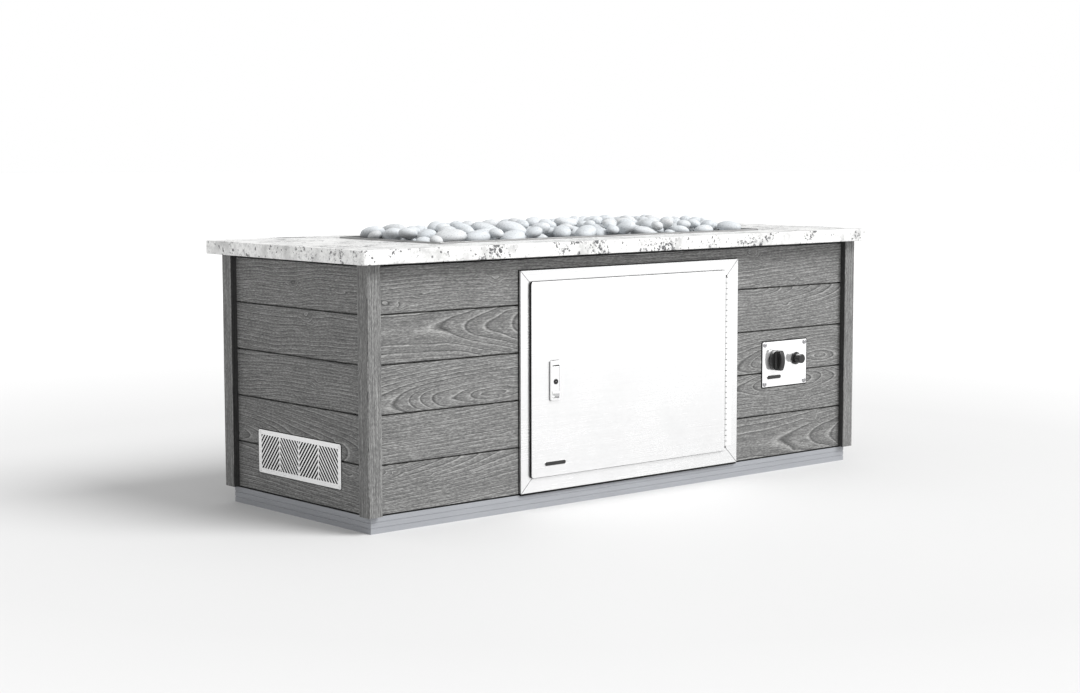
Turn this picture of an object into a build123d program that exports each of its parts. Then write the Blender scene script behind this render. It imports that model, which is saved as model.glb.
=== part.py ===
from build123d import *
import os
from math import ceil, cos, radians, sin, sqrt, tan
import numpy as np

# Millimetres. Origin: centre of the footprint on the floor. Front faces -Y, right is +X, up is +Z.

# Cabinet body
body_length = 1804
body_depth = 652
board_rows = 5
board_pitch = 124
board_groove = 4
board_thickness = 20
board_edge = 1.5
tongue_height = 8
tongue_front = 11
tongue_fit = 0.5
trim_leg = 42
trim_thickness = 18
trim_drop = 2
trim_edge = 2.5
plinth_height = 42
plinth_gap = 4
plinth_wall = 2.5
plinth_flute = 1.2
flute_mouth = 1.5
flute_bed = 0.8
tube_size = 38
tube_wall = 2

# Stone top
slab_overhang = 32
slab_thickness = 36
slab_corner = 10
slab_edge = 3
slab_clearance = 2

# Burner tray
tray_length = 1216
tray_width = 440
tray_depth = 44
tray_flange = 14
tray_rim = 4
tray_sheet = 1.5
tray_corner = 12

# Burner
burner_radius = 11
burner_wall = 1.5
burner_end = 70
burner_lift = 15
burner_port = 1.2
burner_port_pitch = 26
burner_port_lean = 35
hub_radius = 13
hub_drop = 20
hub_collar = 8
collar_height = 2
electrode_x = 130
electrode_y = 24
electrode_radius = 3.5
electrode_collar = 7
electrode_tip = 1.2
electrode_drop = 28

# Door and its frame
door_frame_width = 812
door_frame_height = 583
door_frame_face = 44
door_frame_lap = 34
door_frame_proud = 8
door_frame_sheet = 2
door_jamb_depth = 60
mitre_seam = 0.5
door_left = 375.5
door_right = 349
door_bottom = 38.5
door_height = 515
door_proud = 8
door_return = 6
door_sheet = 1.5
door_corner = 8
liner_inset = 8
liner_depth = 24.5

# Piano hinge
hinge_radius = 4
hinge_bore = 1.55
hinge_pin_radius = 1.5
hinge_offset = 6.5
hinge_leaf = 26
hinge_sheet = 1.2
hinge_knuckles = 31
hinge_gap = 0.4
hinge_bottom = 12
hinge_top = 21
pin_end = 1
pin_head = 1.5

# Latch
latch_x = -297
latch_z = 337.6
latch_width = 35
latch_height = 105
latch_proud = 6.4
latch_corner = 4
latch_edge = 1.2
latch_cut_fit = 0.5
latch_body_width = 27
latch_body_height = 92
latch_body_depth = 20
latch_wall = 5
pocket_width = 24.6
pocket_top = 41
pocket_bottom = 47
pocket_corner = 3
paddle_width = 24
paddle_pivot = 35
paddle_tip = 32
paddle_thickness = 4
paddle_inset = 0.6
paddle_knuckle = 3
paddle_groove = 1.2
paddle_groove_depth = 0.8
paddle_groove_drop = 5
pivot_radius = 1.5
pivot_reach = 3
pivot_end_fit = 0.2
lip_radius = 5
lock_drop = 3
lock_radius = 6
lock_tail = 3
lock_flange = 1.2
lock_face = 1
key_slot_width = 1.6
key_slot_length = 6
key_slot_depth = 4
bolt_height = 20
bolt_thickness = 5
bolt_depth = 10.5
bolt_travel = 12
bolt_throw = 8
bolt_inset = 6
bolt_nose = 1
bolt_end_room = 1
bolt_slot_fit = 1
slide_fit = 0.3
turn_fit = 0.05

# Control plate
plate_x = 613.3
plate_z = 316
plate_width = 189
plate_height = 131
plate_sheet = 2
plate_corner = 3
plate_screw_x = 85
plate_screw_z = 57
plate_screw_head = 6.5
plate_screw_height = 3.5
plate_cut_width = 148
plate_cut_height = 90
knob_offset = -41
igniter_offset = 47
control_rise = 11
screw_shank = 2.1
screw_length = 16
screw_fit = 0.2
screw_socket = 1.8
screw_socket_depth = 1.2

# Gas control
stem_radius = 4
stem_push = 3
stem_bore = 18
stem_room = 3
stem_edge = 0.5
stem_hole_fit = 1
knob_radius = 29.5
knob_skirt = 8
knob_grip_width = 17
knob_reach = 33
knob_crown = 57
knob_flank = 6
knob_edge = 2.5
knob_cap = 9
knob_bore_room = 2
knob_gap = 4
valve_size = 44
valve_corner = 6
valve_length = 40
valve_neck = 12
valve_neck_length = 23
manifold_size = 30
manifold_corner = 4
manifold_length = 40
inlet_radius = 7.9
inlet_length = 18
pipe_radius = 6.35
pipe_bore = 5
pipe_bend = 45
pipe_back = 100
pipe_drop = 66

# Igniter
bezel_radius = 18.5
bezel_height = 5
bezel_edge = 1.5
button_radius = 13.5
button_reach = 27
button_travel = 4.5
button_room = 1.5
button_edge = 2
button_hole_fit = 0.5
igniter_radius = 16
igniter_length = 70
igniter_bore = 12
igniter_edge = 2

# Ignition lead: the loop behind the igniter, the drop under the electrode, and its clips
wire_radius = 2.5
wire_bend = 25
lead_loop_back = 60
lead_loop_low = 120
lead_loop_high = 60
lead_drop = 60
clip_length = 10
clip_wall = 2
clip_shares = (0.15, 0.5, 0.85)

# Side vents
vent_width = 372
vent_height = 114
vent_z = 153
vent_sheet = 1.2
vent_corner = 5
vent_screw_inset = 7
vent_screw_head = 4
vent_screw_height = 1.6
vent_cut_width = 350
vent_cut_height = 92
vent_columns = 4
vent_column_pitch = 87.5
vent_column_width = 83.5
vent_slot_width = 5.4
vent_slot_pitch = 12.6
vent_slot_lean = 40
vent_slot_least = 12
vent_slot_margin = 1.5

# River pebbles: half-lengths of each size of stone, and the heap they make
pebble_sizes = (
    (46, 34, 20),
    (38, 29, 18),
    (43, 28, 21),
    (32, 26, 17),
    (35, 31, 16),
    (27, 22, 15),
    (22, 18, 13),
)
pebble_small = 3
pebble_edge_heap = 33
pebble_middle_heap = 50
pebble_tilt = 15
pebble_tries = 460
pebble_looks = 90
pebble_gap = 0.35
pebble_grid = 3
pebble_swing = 137.5
pebble_step_x = 0.7548776662
pebble_step_y = 0.5698402910
electrode_clear = 12
electrode_cover = 3
hub_cover = 8

# Derived faces and levels
board_face_x = body_length / 2 - trim_thickness
board_face_y = body_depth / 2 - trim_thickness
frame_face_x = board_face_x - board_thickness
frame_face_y = board_face_y - board_thickness
board_base = plinth_height + plinth_gap
board_height = board_pitch - board_groove
slab_bottom = board_base + board_rows * board_pitch
slab_top = slab_bottom + slab_thickness
rail_top = plinth_height + tube_size
header_bottom = slab_bottom - tube_size
tray_floor = slab_top - tray_depth
pan_length = tray_length - 2 * tray_flange
pan_width = tray_width - 2 * tray_flange
burner_z = tray_floor + burner_lift
burner_length = pan_length - 2 * burner_end
hub_bottom = tray_floor - hub_drop
door_frame_front = -board_face_y - door_frame_proud
door_frame_top = board_base + door_frame_height
opening_x = door_frame_width / 2 - door_frame_lap
opening_top = door_frame_top - door_frame_lap
jamb_x = door_frame_width / 2 - door_frame_face
door_front = door_frame_front - door_proud
door_z0 = board_base + door_bottom
door_z1 = door_z0 + door_height
hinge_x = door_right + hinge_offset
hinge_y = door_frame_front - hinge_radius
hinge_z0 = door_z0 + hinge_bottom
hinge_z1 = door_z1 - hinge_top
plate_front = -board_face_y - plate_sheet
knob_x = plate_x + knob_offset
igniter_x = plate_x + igniter_offset
control_z = plate_z + control_rise
valve_back = -board_face_y + valve_length + valve_neck_length + manifold_length
igniter_back = -board_face_y + igniter_length
pipe_z = tray_floor - pipe_drop
wire_y = -frame_face_y + tube_size + 2 * wire_radius
wire_z = header_bottom + tube_size / 2
electrode_bottom = tray_floor - electrode_drop

# Wall planes: X runs right as seen from outside, Y up, Z outward
front_wall = Plane(origin=(0, -board_face_y, 0), x_dir=(1, 0, 0), z_dir=(0, -1, 0))
back_wall = Plane(origin=(0, board_face_y, 0), x_dir=(-1, 0, 0), z_dir=(0, 1, 0))
left_wall = Plane(origin=(-board_face_x, 0, 0), x_dir=(0, -1, 0), z_dir=(-1, 0, 0))
right_wall = Plane(origin=(board_face_x, 0, 0), x_dir=(0, 1, 0), z_dir=(1, 0, 0))

# Fixing points on the walls
plate_screws_at = [
    (plate_x + i * plate_screw_x, plate_z + k * plate_screw_z) for i in (-1, 1) for k in (-1, 1)
]
vent_screws_at = [
    (i * (vent_width / 2 - vent_screw_inset), vent_z + k * (vent_height / 2 - vent_screw_inset))
    for i in (-1, 1)
    for k in (-1, 1)
]

os.makedirs("parts", exist_ok=True)


# Write one finished piece under its node name
def save(piece, node):
    piece.label = node
    export_step(piece, f"parts/{node}.step")


# Write several separate solids as one node
def save_group(solids, node):
    group = Compound(children=solids)
    save(group, node)


# Cladding board on a wall, from start to end, with cut-outs (left, right, low, high) and screw holes
def board(wall, start, end, row, cuts=(), holes=()):
    low = board_base + row * board_pitch
    high = board_height + board_groove + tongue_height
    rebate = tongue_height + 2 * tongue_fit
    section = Plane(wall.from_local_coords((start, low, 0)), x_dir=-wall.z_dir, z_dir=wall.x_dir)
    with BuildPart() as plank:
        with BuildSketch(section):
            Rectangle(board_thickness, board_height, align=(Align.MIN, Align.MIN))
            with Locations((tongue_front - tongue_fit, 0)):
                Rectangle(board_thickness, rebate, align=(Align.MIN, Align.MIN), mode=Mode.SUBTRACT)
            if row < board_rows - 1:
                with Locations((tongue_front, board_height / 2)):
                    Rectangle(
                        board_thickness - tongue_front - tongue_fit,
                        high - board_height / 2,
                        align=(Align.MIN, Align.MIN),
                    )
        extrude(amount=end - start)
        long_edges = plank.edges().filter_by(Axis((0, 0, 0), wall.x_dir))
        fillet(long_edges.group_by(Axis((0, 0, 0), wall.z_dir))[-1], board_edge)
        for left, right, bottom, top in cuts:
            with BuildSketch(wall):
                with Locations(((left + right) / 2, (bottom + top) / 2)):
                    Rectangle(right - left, top - bottom)
            extrude(amount=-board_thickness, mode=Mode.SUBTRACT)
        for place in holes:
            if low < place[1] < low + board_pitch and start < place[0] < end:
                with BuildSketch(wall):
                    with Locations(place):
                        Circle(screw_shank + screw_fit)
                extrude(amount=-screw_length, mode=Mode.SUBTRACT)
    return plank.part


# Bar of a closed outline, mitred at 45 degrees at both ends
def mitred_bar(start, along, inward, length, outline, bore=None, seam=0):
    start = Vector(start)
    along = Vector(along)
    inward = Vector(inward)
    with BuildPart() as bar:
        with BuildSketch(Plane(start, x_dir=inward, z_dir=along)):
            Polygon(*outline, align=None)
            if bore:
                Polygon(*bore, align=None, mode=Mode.SUBTRACT)
        extrude(amount=length)
        shift = along * (seam / sqrt(2))
        split(bisect_by=Plane(start + shift, z_dir=inward - along), keep=Keep.BOTTOM)
        split(bisect_by=Plane(start + along * length - shift, z_dir=inward + along), keep=Keep.BOTTOM)
    return bar.part


# Square tube between two points along one axis
def tube(start, along, length):
    with BuildPart() as bar:
        with BuildSketch(Plane(start, z_dir=along)):
            Rectangle(tube_size, tube_size)
            Rectangle(tube_size - 2 * tube_wall, tube_size - 2 * tube_wall, mode=Mode.SUBTRACT)
        extrude(amount=length)
    return bar.part


# Pan-head socket screw standing on a face, head outward
def screw(face, place, head_radius, head_height):
    with BuildPart() as fastener:
        with BuildSketch(face):
            with Locations(place):
                Circle(head_radius)
        extrude(amount=head_height)
        fillet(fastener.edges().group_by(Axis((0, 0, 0), face.z_dir))[-1], head_height * 0.6)
        with BuildSketch(face.offset(head_height)):
            with Locations(place):
                RegularPolygon(screw_socket, 6)
        extrude(amount=-screw_socket_depth, mode=Mode.SUBTRACT)
        with BuildSketch(face):
            with Locations(place):
                Circle(screw_shank)
        extrude(amount=-screw_length + 1)
    return fastener.part


# Plinth: four fluted hollow rails, mitred at the corners
rail_depth = board_thickness + tube_size
flutes = []
for share in (1 / 3, 2 / 3):
    flute_mid = plinth_height * share
    flutes += [(0, flute_mid + flute_mouth), (plinth_flute, flute_mid + flute_bed)]
    flutes += [(plinth_flute, flute_mid - flute_bed), (0, flute_mid - flute_mouth)]
plinth_outline = [(0, 0), (rail_depth, 0), (rail_depth, plinth_height), (0, plinth_height)]
plinth_outline += flutes[4:] + flutes[:4]
hollow_far = rail_depth - plinth_wall
hollow_near = plinth_wall + plinth_flute
hollow_high = plinth_height - plinth_wall
plinth_hollow = [(hollow_near, plinth_wall), (hollow_far, plinth_wall)]
plinth_hollow += [(hollow_far, hollow_high), (hollow_near, hollow_high)]
plinth_sides = {
    "plinth_front": ((-board_face_x, -board_face_y, 0), (1, 0, 0), (0, 1, 0), 2 * board_face_x),
    "plinth_right": ((board_face_x, -board_face_y, 0), (0, 1, 0), (-1, 0, 0), 2 * board_face_y),
    "plinth_back": ((board_face_x, board_face_y, 0), (-1, 0, 0), (0, -1, 0), 2 * board_face_x),
    "plinth_left": ((-board_face_x, board_face_y, 0), (0, -1, 0), (1, 0, 0), 2 * board_face_y),
}
for node, (start, along, inward, length) in plinth_sides.items():
    save(mitred_bar(start, along, inward, length, plinth_outline, plinth_hollow), node)

# Inner frame: bottom and top rails
tube_x = frame_face_x - tube_size / 2
tube_y = frame_face_y - tube_size / 2
rails = []
for level in (plinth_height + tube_size / 2, slab_bottom - tube_size / 2):
    for side in (-1, 1):
        rails.append(tube((-frame_face_x, side * tube_y, level), (1, 0, 0), 2 * frame_face_x))
        rails.append(tube((side * tube_x, -tube_y + tube_size / 2, level), (0, 1, 0), 2 * tube_y - tube_size))
save_group(rails, "frame_rails")

# Inner frame: corner, door and back uprights
door_stud = opening_x + tube_size / 2
uprights = []
for x in (-tube_x, -door_stud, door_stud, tube_x):
    for y in (-tube_y, tube_y):
        uprights.append(tube((x, y, rail_top), (0, 0, 1), header_bottom - rail_top))
save_group(uprights, "frame_uprights")

# Front boards: four rows cut at the door, and one notched board over it
plate_cut = (
    plate_x - plate_cut_width / 2,
    plate_x + plate_cut_width / 2,
    plate_z - plate_cut_height / 2,
    plate_z + plate_cut_height / 2,
)
for row in range(board_rows - 1):
    save(board(front_wall, -board_face_x, -opening_x, row), f"front_board_{row + 1}_left")
    right_board = board(front_wall, opening_x, board_face_x, row, [plate_cut], plate_screws_at)
    save(right_board, f"front_board_{row + 1}_right")
door_notch = (-opening_x, opening_x, 0, opening_top)
top_board = board(front_wall, -board_face_x, board_face_x, board_rows - 1, [door_notch])
save(top_board, "front_board_5_top")

# End boards, cut for the vents, and back boards
vent_cut = (
    -vent_cut_width / 2,
    vent_cut_width / 2,
    vent_z - vent_cut_height / 2,
    vent_z + vent_cut_height / 2,
)
for row in range(board_rows):
    for wall, side in ((left_wall, "left"), (right_wall, "right")):
        end_board = board(wall, -frame_face_y, frame_face_y, row, [vent_cut], vent_screws_at)
        save(end_board, f"{side}_board_{row + 1}")
back_boards = [board(back_wall, -board_face_x, board_face_x, row) for row in range(board_rows)]
save_group(back_boards, "back_boards")

# Corner trims: L-shaped, standing proud of the boards
for x_side, x_name in ((-1, "left"), (1, "right")):
    for y_side, y_name in ((-1, "front"), (1, "back")):
        corner_x = x_side * body_length / 2
        corner_y = y_side * body_depth / 2
        with BuildPart() as trim:
            with BuildSketch(Plane.XY.offset(board_base - trim_drop)):
                with Locations((corner_x - x_side * trim_leg / 2, corner_y - y_side * trim_leg / 2)):
                    Rectangle(trim_leg, trim_leg)
                with Locations((board_face_x * x_side, board_face_y * y_side)):
                    Rectangle(
                        trim_leg,
                        trim_leg,
                        align=(
                            Align.MAX if x_side > 0 else Align.MIN,
                            Align.MAX if y_side > 0 else Align.MIN,
                        ),
                        mode=Mode.SUBTRACT,
                    )
            extrude(amount=slab_bottom - board_base + trim_drop)
            upright_edges = trim.edges().filter_by(Axis.Z)
            outer_edges = [
                edge
                for edge in upright_edges
                if abs(edge.center().X) > board_face_x + 1 or abs(edge.center().Y) > board_face_y + 1
            ]
            fillet(outer_edges, trim_edge)
        save(trim.part, f"corner_trim_{y_name}_{x_name}")

# Stone top with the tray cut-out
with BuildPart() as countertop:
    with BuildSketch(Plane.XY.offset(slab_bottom)):
        RectangleRounded(body_length + 2 * slab_overhang, body_depth + 2 * slab_overhang, slab_corner)
        RectangleRounded(
            pan_length + 2 * slab_clearance,
            pan_width + 2 * slab_clearance,
            tray_corner + slab_clearance,
            mode=Mode.SUBTRACT,
        )
    extrude(amount=slab_thickness)
    top_face = countertop.faces().sort_by(Axis.Z)[-1]
    fillet(top_face.outer_wire().edges(), slab_edge)
    low_face = countertop.faces().sort_by(Axis.Z)[0]
    fillet(low_face.outer_wire().edges(), slab_edge)
save(countertop.part, "countertop")

# Burner tray: folded flange, straight walls, floor with holes for the hub and the electrode
with BuildPart() as tray:
    with BuildSketch(Plane.XY.offset(slab_top)):
        RectangleRounded(tray_length, tray_width, tray_corner + tray_flange)
    extrude(amount=tray_rim)
    fillet(tray.faces().sort_by(Axis.Z)[-1].edges(), tray_sheet * 0.9)
    with BuildSketch(Plane.XY.offset(slab_top)):
        RectangleRounded(
            tray_length - 2 * tray_sheet,
            tray_width - 2 * tray_sheet,
            tray_corner + tray_flange - tray_sheet,
        )
    extrude(amount=tray_rim - tray_sheet, mode=Mode.SUBTRACT)
    with BuildSketch(Plane.XY.offset(tray_floor - tray_sheet)):
        RectangleRounded(pan_length, pan_width, tray_corner)
    extrude(amount=tray_depth + tray_sheet + tray_rim - tray_sheet)
    with BuildSketch(Plane.XY.offset(tray_floor)):
        RectangleRounded(pan_length - 2 * tray_sheet, pan_width - 2 * tray_sheet, tray_corner - tray_sheet)
    extrude(amount=tray_depth + tray_rim, mode=Mode.SUBTRACT)
    with BuildSketch(Plane.XY.offset(tray_floor)):
        Circle(hub_radius + slide_fit)
        with Locations((electrode_x, electrode_y)):
            Circle(electrode_radius + slide_fit)
    extrude(amount=-tray_sheet, mode=Mode.SUBTRACT)
save(tray.part, "burner_tray")

# Burner: capped tube with two rows of ports, hub through the tray floor, collar on it
with BuildPart() as burner:
    with BuildSketch(Plane((-burner_length / 2, 0, burner_z), z_dir=(1, 0, 0))):
        Circle(burner_radius)
    extrude(amount=burner_length)
    with BuildSketch(Plane.XY.offset(hub_bottom)):
        Circle(hub_radius)
    extrude(amount=burner_z - hub_bottom)
    with BuildSketch(Plane.XY.offset(tray_floor)):
        Circle(hub_radius + hub_collar)
    extrude(amount=collar_height)
    with BuildSketch(Plane((-burner_length / 2 + burner_wall, 0, burner_z), z_dir=(1, 0, 0))):
        Circle(burner_radius - burner_wall)
    extrude(amount=burner_length - 2 * burner_wall, mode=Mode.SUBTRACT)
    with BuildSketch(Plane.XY.offset(hub_bottom)):
        Circle(pipe_bore)
    extrude(amount=burner_z - hub_bottom, mode=Mode.SUBTRACT)
    port_count = int(burner_length / burner_port_pitch) - 1
    for lean in (-burner_port_lean, burner_port_lean):
        outward = (0, sin(radians(lean)), cos(radians(lean)))
        with Locations(Plane((0, 0, burner_z), x_dir=(1, 0, 0), z_dir=outward)):
            with GridLocations(burner_port_pitch, 1, port_count, 1):
                Cylinder(
                    burner_port,
                    2 * burner_radius,
                    align=(Align.CENTER, Align.CENTER, Align.MIN),
                    mode=Mode.SUBTRACT,
                )
save(burner.part, "burner_tube")

# Spark electrode: ceramic sleeve through the tray floor, collar on it, metal tip over the burner
with BuildPart() as electrode:
    with BuildSketch(Plane((electrode_x, electrode_y, electrode_bottom))):
        Circle(electrode_radius)
    extrude(amount=burner_z - electrode_bottom)
    with BuildSketch(Plane((electrode_x, electrode_y, tray_floor))):
        Circle(electrode_collar)
    extrude(amount=collar_height)
    with BuildSketch(Plane((electrode_x, electrode_y, burner_z))):
        Circle(electrode_tip)
    extrude(amount=burner_radius)
    tip_bend = (electrode_x, electrode_y + electrode_tip, burner_z + burner_radius)
    with BuildSketch(Plane(tip_bend, z_dir=(0, -1, 0))):
        Circle(electrode_tip)
    extrude(amount=burner_radius)
save(electrode.part, "spark_electrode")

# Gas pipe from the valve to the burner hub
with BuildPart() as pipe:
    with BuildLine() as pipe_run:
        FilletPolyline(
            (knob_x, valve_back, control_z),
            (knob_x, -pipe_back, control_z),
            (knob_x, -pipe_back, pipe_z),
            (0, -pipe_back, pipe_z),
            (0, 0, pipe_z),
            (0, 0, hub_bottom),
            radius=pipe_bend,
        )
    with BuildSketch(Plane((knob_x, valve_back, control_z), z_dir=(0, 1, 0))):
        Circle(pipe_radius)
        Circle(pipe_bore, mode=Mode.SUBTRACT)
    sweep(path=pipe_run.wires()[0])
save(pipe.part, "gas_pipe")

# Ignition lead from the igniter to the electrode, along the front top rail
with BuildPart() as lead:
    with BuildLine() as lead_run:
        FilletPolyline(
            (igniter_x, igniter_back, control_z),
            (igniter_x, wire_y + lead_loop_back, control_z),
            (igniter_x, wire_y + lead_loop_back, wire_z - lead_loop_low),
            (igniter_x, wire_y, wire_z - lead_loop_high),
            (igniter_x, wire_y, wire_z),
            (electrode_x, wire_y, wire_z),
            (electrode_x, wire_y, electrode_bottom - lead_drop),
            (electrode_x, electrode_y, electrode_bottom - lead_drop),
            (electrode_x, electrode_y, electrode_bottom),
            radius=wire_bend,
        )
    with BuildSketch(Plane((igniter_x, igniter_back, control_z), z_dir=(0, 1, 0))):
        Circle(wire_radius)
    sweep(path=lead_run.wires()[0])
save(lead.part, "ignition_lead")

# Clips that hold the lead on the rail
clip_depth = wire_y + wire_radius + clip_wall - (-frame_face_y + tube_size)
clips = []
for share in clip_shares:
    clip_x = electrode_x + share * (igniter_x - electrode_x)
    with BuildPart() as clip:
        clip_start = (clip_x - clip_length / 2, -frame_face_y + tube_size, wire_z)
        with BuildSketch(Plane(clip_start, x_dir=(0, 1, 0), z_dir=(1, 0, 0))):
            Rectangle(clip_depth, 4 * wire_radius, align=(Align.MIN, Align.CENTER))
            with Locations((2 * wire_radius, 0)):
                Circle(wire_radius + slide_fit, mode=Mode.SUBTRACT)
        extrude(amount=clip_length)
    clips.append(clip.part)
save_group(clips, "lead_clips")

# Control plate with holes for the stem, the igniter and the screws
with BuildPart() as plate:
    with BuildSketch(front_wall):
        with Locations((plate_x, plate_z)):
            RectangleRounded(plate_width, plate_height, plate_corner)
        with Locations((knob_x, control_z)):
            Circle(stem_radius + stem_hole_fit, mode=Mode.SUBTRACT)
        with Locations((igniter_x, control_z)):
            Circle(button_radius + button_hole_fit, mode=Mode.SUBTRACT)
        with Locations(plate_screws_at):
            Circle(screw_shank + screw_fit, mode=Mode.SUBTRACT)
    extrude(amount=plate_sheet)
save(plate.part, "control_plate")
plate_face = front_wall.offset(plate_sheet)
plate_screw_solids = [
    screw(plate_face, place, plate_screw_head, plate_screw_height) for place in plate_screws_at
]
save_group(plate_screw_solids, "plate_screws")

# Gas valve: block with stem bore, neck, manifold, inlet pointing down and outlet bore
with BuildPart() as valve:
    with BuildSketch(front_wall):
        with Locations((knob_x, control_z)):
            RectangleRounded(valve_size, valve_size, valve_corner)
    extrude(amount=-valve_length)
    with BuildSketch(front_wall.offset(-valve_length)):
        with Locations((knob_x, control_z)):
            Circle(valve_neck)
    extrude(amount=-valve_neck_length)
    with BuildSketch(front_wall.offset(-valve_length - valve_neck_length)):
        with Locations((knob_x, control_z)):
            RectangleRounded(manifold_size, manifold_size, manifold_corner)
    extrude(amount=-manifold_length)
    inlet_y = valve_back - manifold_length / 2
    with BuildSketch(Plane((knob_x, inlet_y, control_z - manifold_size / 2), z_dir=(0, 0, -1))):
        Circle(inlet_radius)
    extrude(amount=inlet_length)
    with BuildSketch(Plane((knob_x, inlet_y, control_z), z_dir=(0, 0, -1))):
        Circle(pipe_bore)
    extrude(amount=inlet_length + manifold_size / 2, mode=Mode.SUBTRACT)
    with BuildSketch(Plane((knob_x, valve_back, control_z), z_dir=(0, -1, 0))):
        Circle(pipe_bore)
    extrude(amount=manifold_length / 2, mode=Mode.SUBTRACT)
    with BuildSketch(front_wall):
        with Locations((knob_x, control_z)):
            Circle(stem_radius + turn_fit)
    extrude(amount=-stem_bore, mode=Mode.SUBTRACT)
save(valve.part, "gas_valve")

# Valve stem, pushed in against its spring before it turns
stem_front = plate_sheet + knob_reach - knob_cap
stem_root = stem_bore - stem_push - stem_room
with BuildPart() as stem:
    with BuildSketch(front_wall.offset(-stem_root)):
        with Locations((knob_x, control_z)):
            Circle(stem_radius)
    extrude(amount=stem_front + stem_root)
    chamfer(stem.edges().group_by(Axis.Y)[0], stem_edge)
save(stem.part, "valve_stem")

# Control knob: skirt disc, grip bar with hollowed flanks and a crowned front, bore for the stem
with BuildPart() as knob:
    with BuildSketch(Plane((knob_x, plate_front - knob_gap, control_z))) as flanks:
        Rectangle(2 * knob_radius, knob_skirt, align=(Align.CENTER, Align.MAX))
        Rectangle(knob_grip_width, knob_reach - knob_gap, align=(Align.CENTER, Align.MAX))
        fillet(flanks.vertices().group_by(Axis.Y)[1].sort_by(Axis.X)[1:3], knob_flank)
    extrude(amount=knob_radius, both=True)
    with BuildSketch(plate_face.offset(knob_gap)):
        with Locations((knob_x, control_z)):
            Circle(knob_radius)
    extrude(amount=knob_reach - knob_gap, mode=Mode.INTERSECT)
    crown_middle = (knob_x, plate_front - knob_reach + knob_crown, control_z)
    with BuildSketch(Plane(crown_middle, z_dir=(1, 0, 0))):
        Circle(knob_crown)
    extrude(amount=knob_radius, both=True, mode=Mode.INTERSECT)
    fillet(knob.faces().sort_by(Axis.Y)[0].edges(), knob_edge)
    with BuildSketch(plate_face.offset(knob_gap)):
        with Locations((knob_x, control_z)):
            Circle(stem_radius + turn_fit)
    extrude(amount=stem_front - plate_sheet - knob_gap + knob_bore_room, mode=Mode.SUBTRACT)
save(knob.part, "control_knob")

# Igniter: bezel in front of the plate, battery housing behind it, push button through both
with BuildPart() as bezel:
    with BuildSketch(plate_face):
        with Locations((igniter_x, control_z)):
            Circle(bezel_radius)
            Circle(button_radius + turn_fit, mode=Mode.SUBTRACT)
    extrude(amount=bezel_height)
    rim = bezel.faces().sort_by(Axis.Y)[0].outer_wire().edges()
    fillet(rim, bezel_edge)
save(bezel.part, "igniter_bezel")

with BuildPart() as igniter:
    with BuildSketch(front_wall):
        with Locations((igniter_x, control_z)):
            Circle(igniter_radius)
    extrude(amount=-igniter_length)
    fillet(igniter.edges().group_by(Axis.Y)[-1], igniter_edge)
    with BuildSketch(front_wall):
        with Locations((igniter_x, control_z)):
            Circle(button_radius + turn_fit)
    extrude(amount=-igniter_bore, mode=Mode.SUBTRACT)
save(igniter.part, "igniter_housing")

button_root = igniter_bore - button_travel - button_room
with BuildPart() as button:
    with BuildSketch(front_wall.offset(-button_root)):
        with Locations((igniter_x, control_z)):
            Circle(button_radius)
    extrude(amount=button_root + plate_sheet + button_reach)
    fillet(button.edges().group_by(Axis.Y)[0], button_edge)
save(button.part, "igniter_button")

# Side vents: flat plate with leaning slots in columns, the lean changing from one column to the next
vent_screw_solids = []
for wall, side in ((left_wall, "left"), (right_wall, "right")):
    with BuildPart() as vent:
        with BuildSketch(wall):
            with Locations((0, vent_z)):
                RectangleRounded(vent_width, vent_height, vent_corner)
            with Locations(vent_screws_at):
                Circle(screw_shank + screw_fit, mode=Mode.SUBTRACT)
        extrude(amount=vent_sheet)
        slot_height = vent_cut_height - 2 * vent_slot_margin
        slot_shift = slot_height / 2 * tan(radians(vent_slot_lean))
        slot_count = ceil((vent_column_width / 2 + slot_shift) / vent_slot_pitch)
        for column in range(vent_columns):
            column_x = (column - (vent_columns - 1) / 2) * vent_column_pitch
            lean = -vent_slot_lean if column % 2 == 0 else vent_slot_lean
            with BuildSketch(wall) as slots:
                places = [
                    (column_x + slot * vent_slot_pitch, vent_z)
                    for slot in range(-slot_count, slot_count + 1)
                ]
                with Locations(places):
                    Rectangle(vent_slot_width, 2 * slot_height, rotation=lean)
                with Locations((column_x, vent_z)):
                    Rectangle(vent_column_width, slot_height, mode=Mode.INTERSECT)
            open_slots = [face for face in slots.sketch.faces() if face.area > vent_slot_least]
            vent.pending_faces.clear()
            extrude(open_slots, amount=vent_sheet, dir=wall.z_dir, mode=Mode.SUBTRACT)
    save(vent.part, f"vent_{side}")
    vent_face = wall.offset(vent_sheet)
    vent_screw_solids += [
        screw(vent_face, place, vent_screw_head, vent_screw_height) for place in vent_screws_at
    ]
save_group(vent_screw_solids, "vent_screws")

# Door frame: four mitred rails of folded sheet, with a slot for the latch bolt
face = door_frame_face
sheet = door_frame_sheet
frame_outline = [(0, 0), (face, 0), (face, door_jamb_depth), (face - sheet, door_jamb_depth)]
frame_outline += [(face - sheet, sheet), (sheet, sheet), (sheet, door_frame_proud), (0, door_frame_proud)]
frame_edge = door_frame_width / 2
low_left = (-frame_edge, door_frame_front, board_base)
top_left = (-frame_edge, door_frame_front, door_frame_top)
top_right = (frame_edge, door_frame_front, door_frame_top)
low_right = (frame_edge, door_frame_front, board_base)
frame_runs = (
    (low_left, (0, 0, 1), (1, 0, 0), door_frame_height),
    (top_left, (1, 0, 0), (0, 0, -1), door_frame_width),
    (top_right, (0, 0, -1), (-1, 0, 0), door_frame_height),
    (low_right, (-1, 0, 0), (0, 0, 1), door_frame_width),
)
bolt_y = door_front + bolt_depth
bolt_slot_depth = bolt_thickness + 2 * bolt_slot_fit
bolt_slot_height = bolt_height + 2 * bolt_slot_fit
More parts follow.
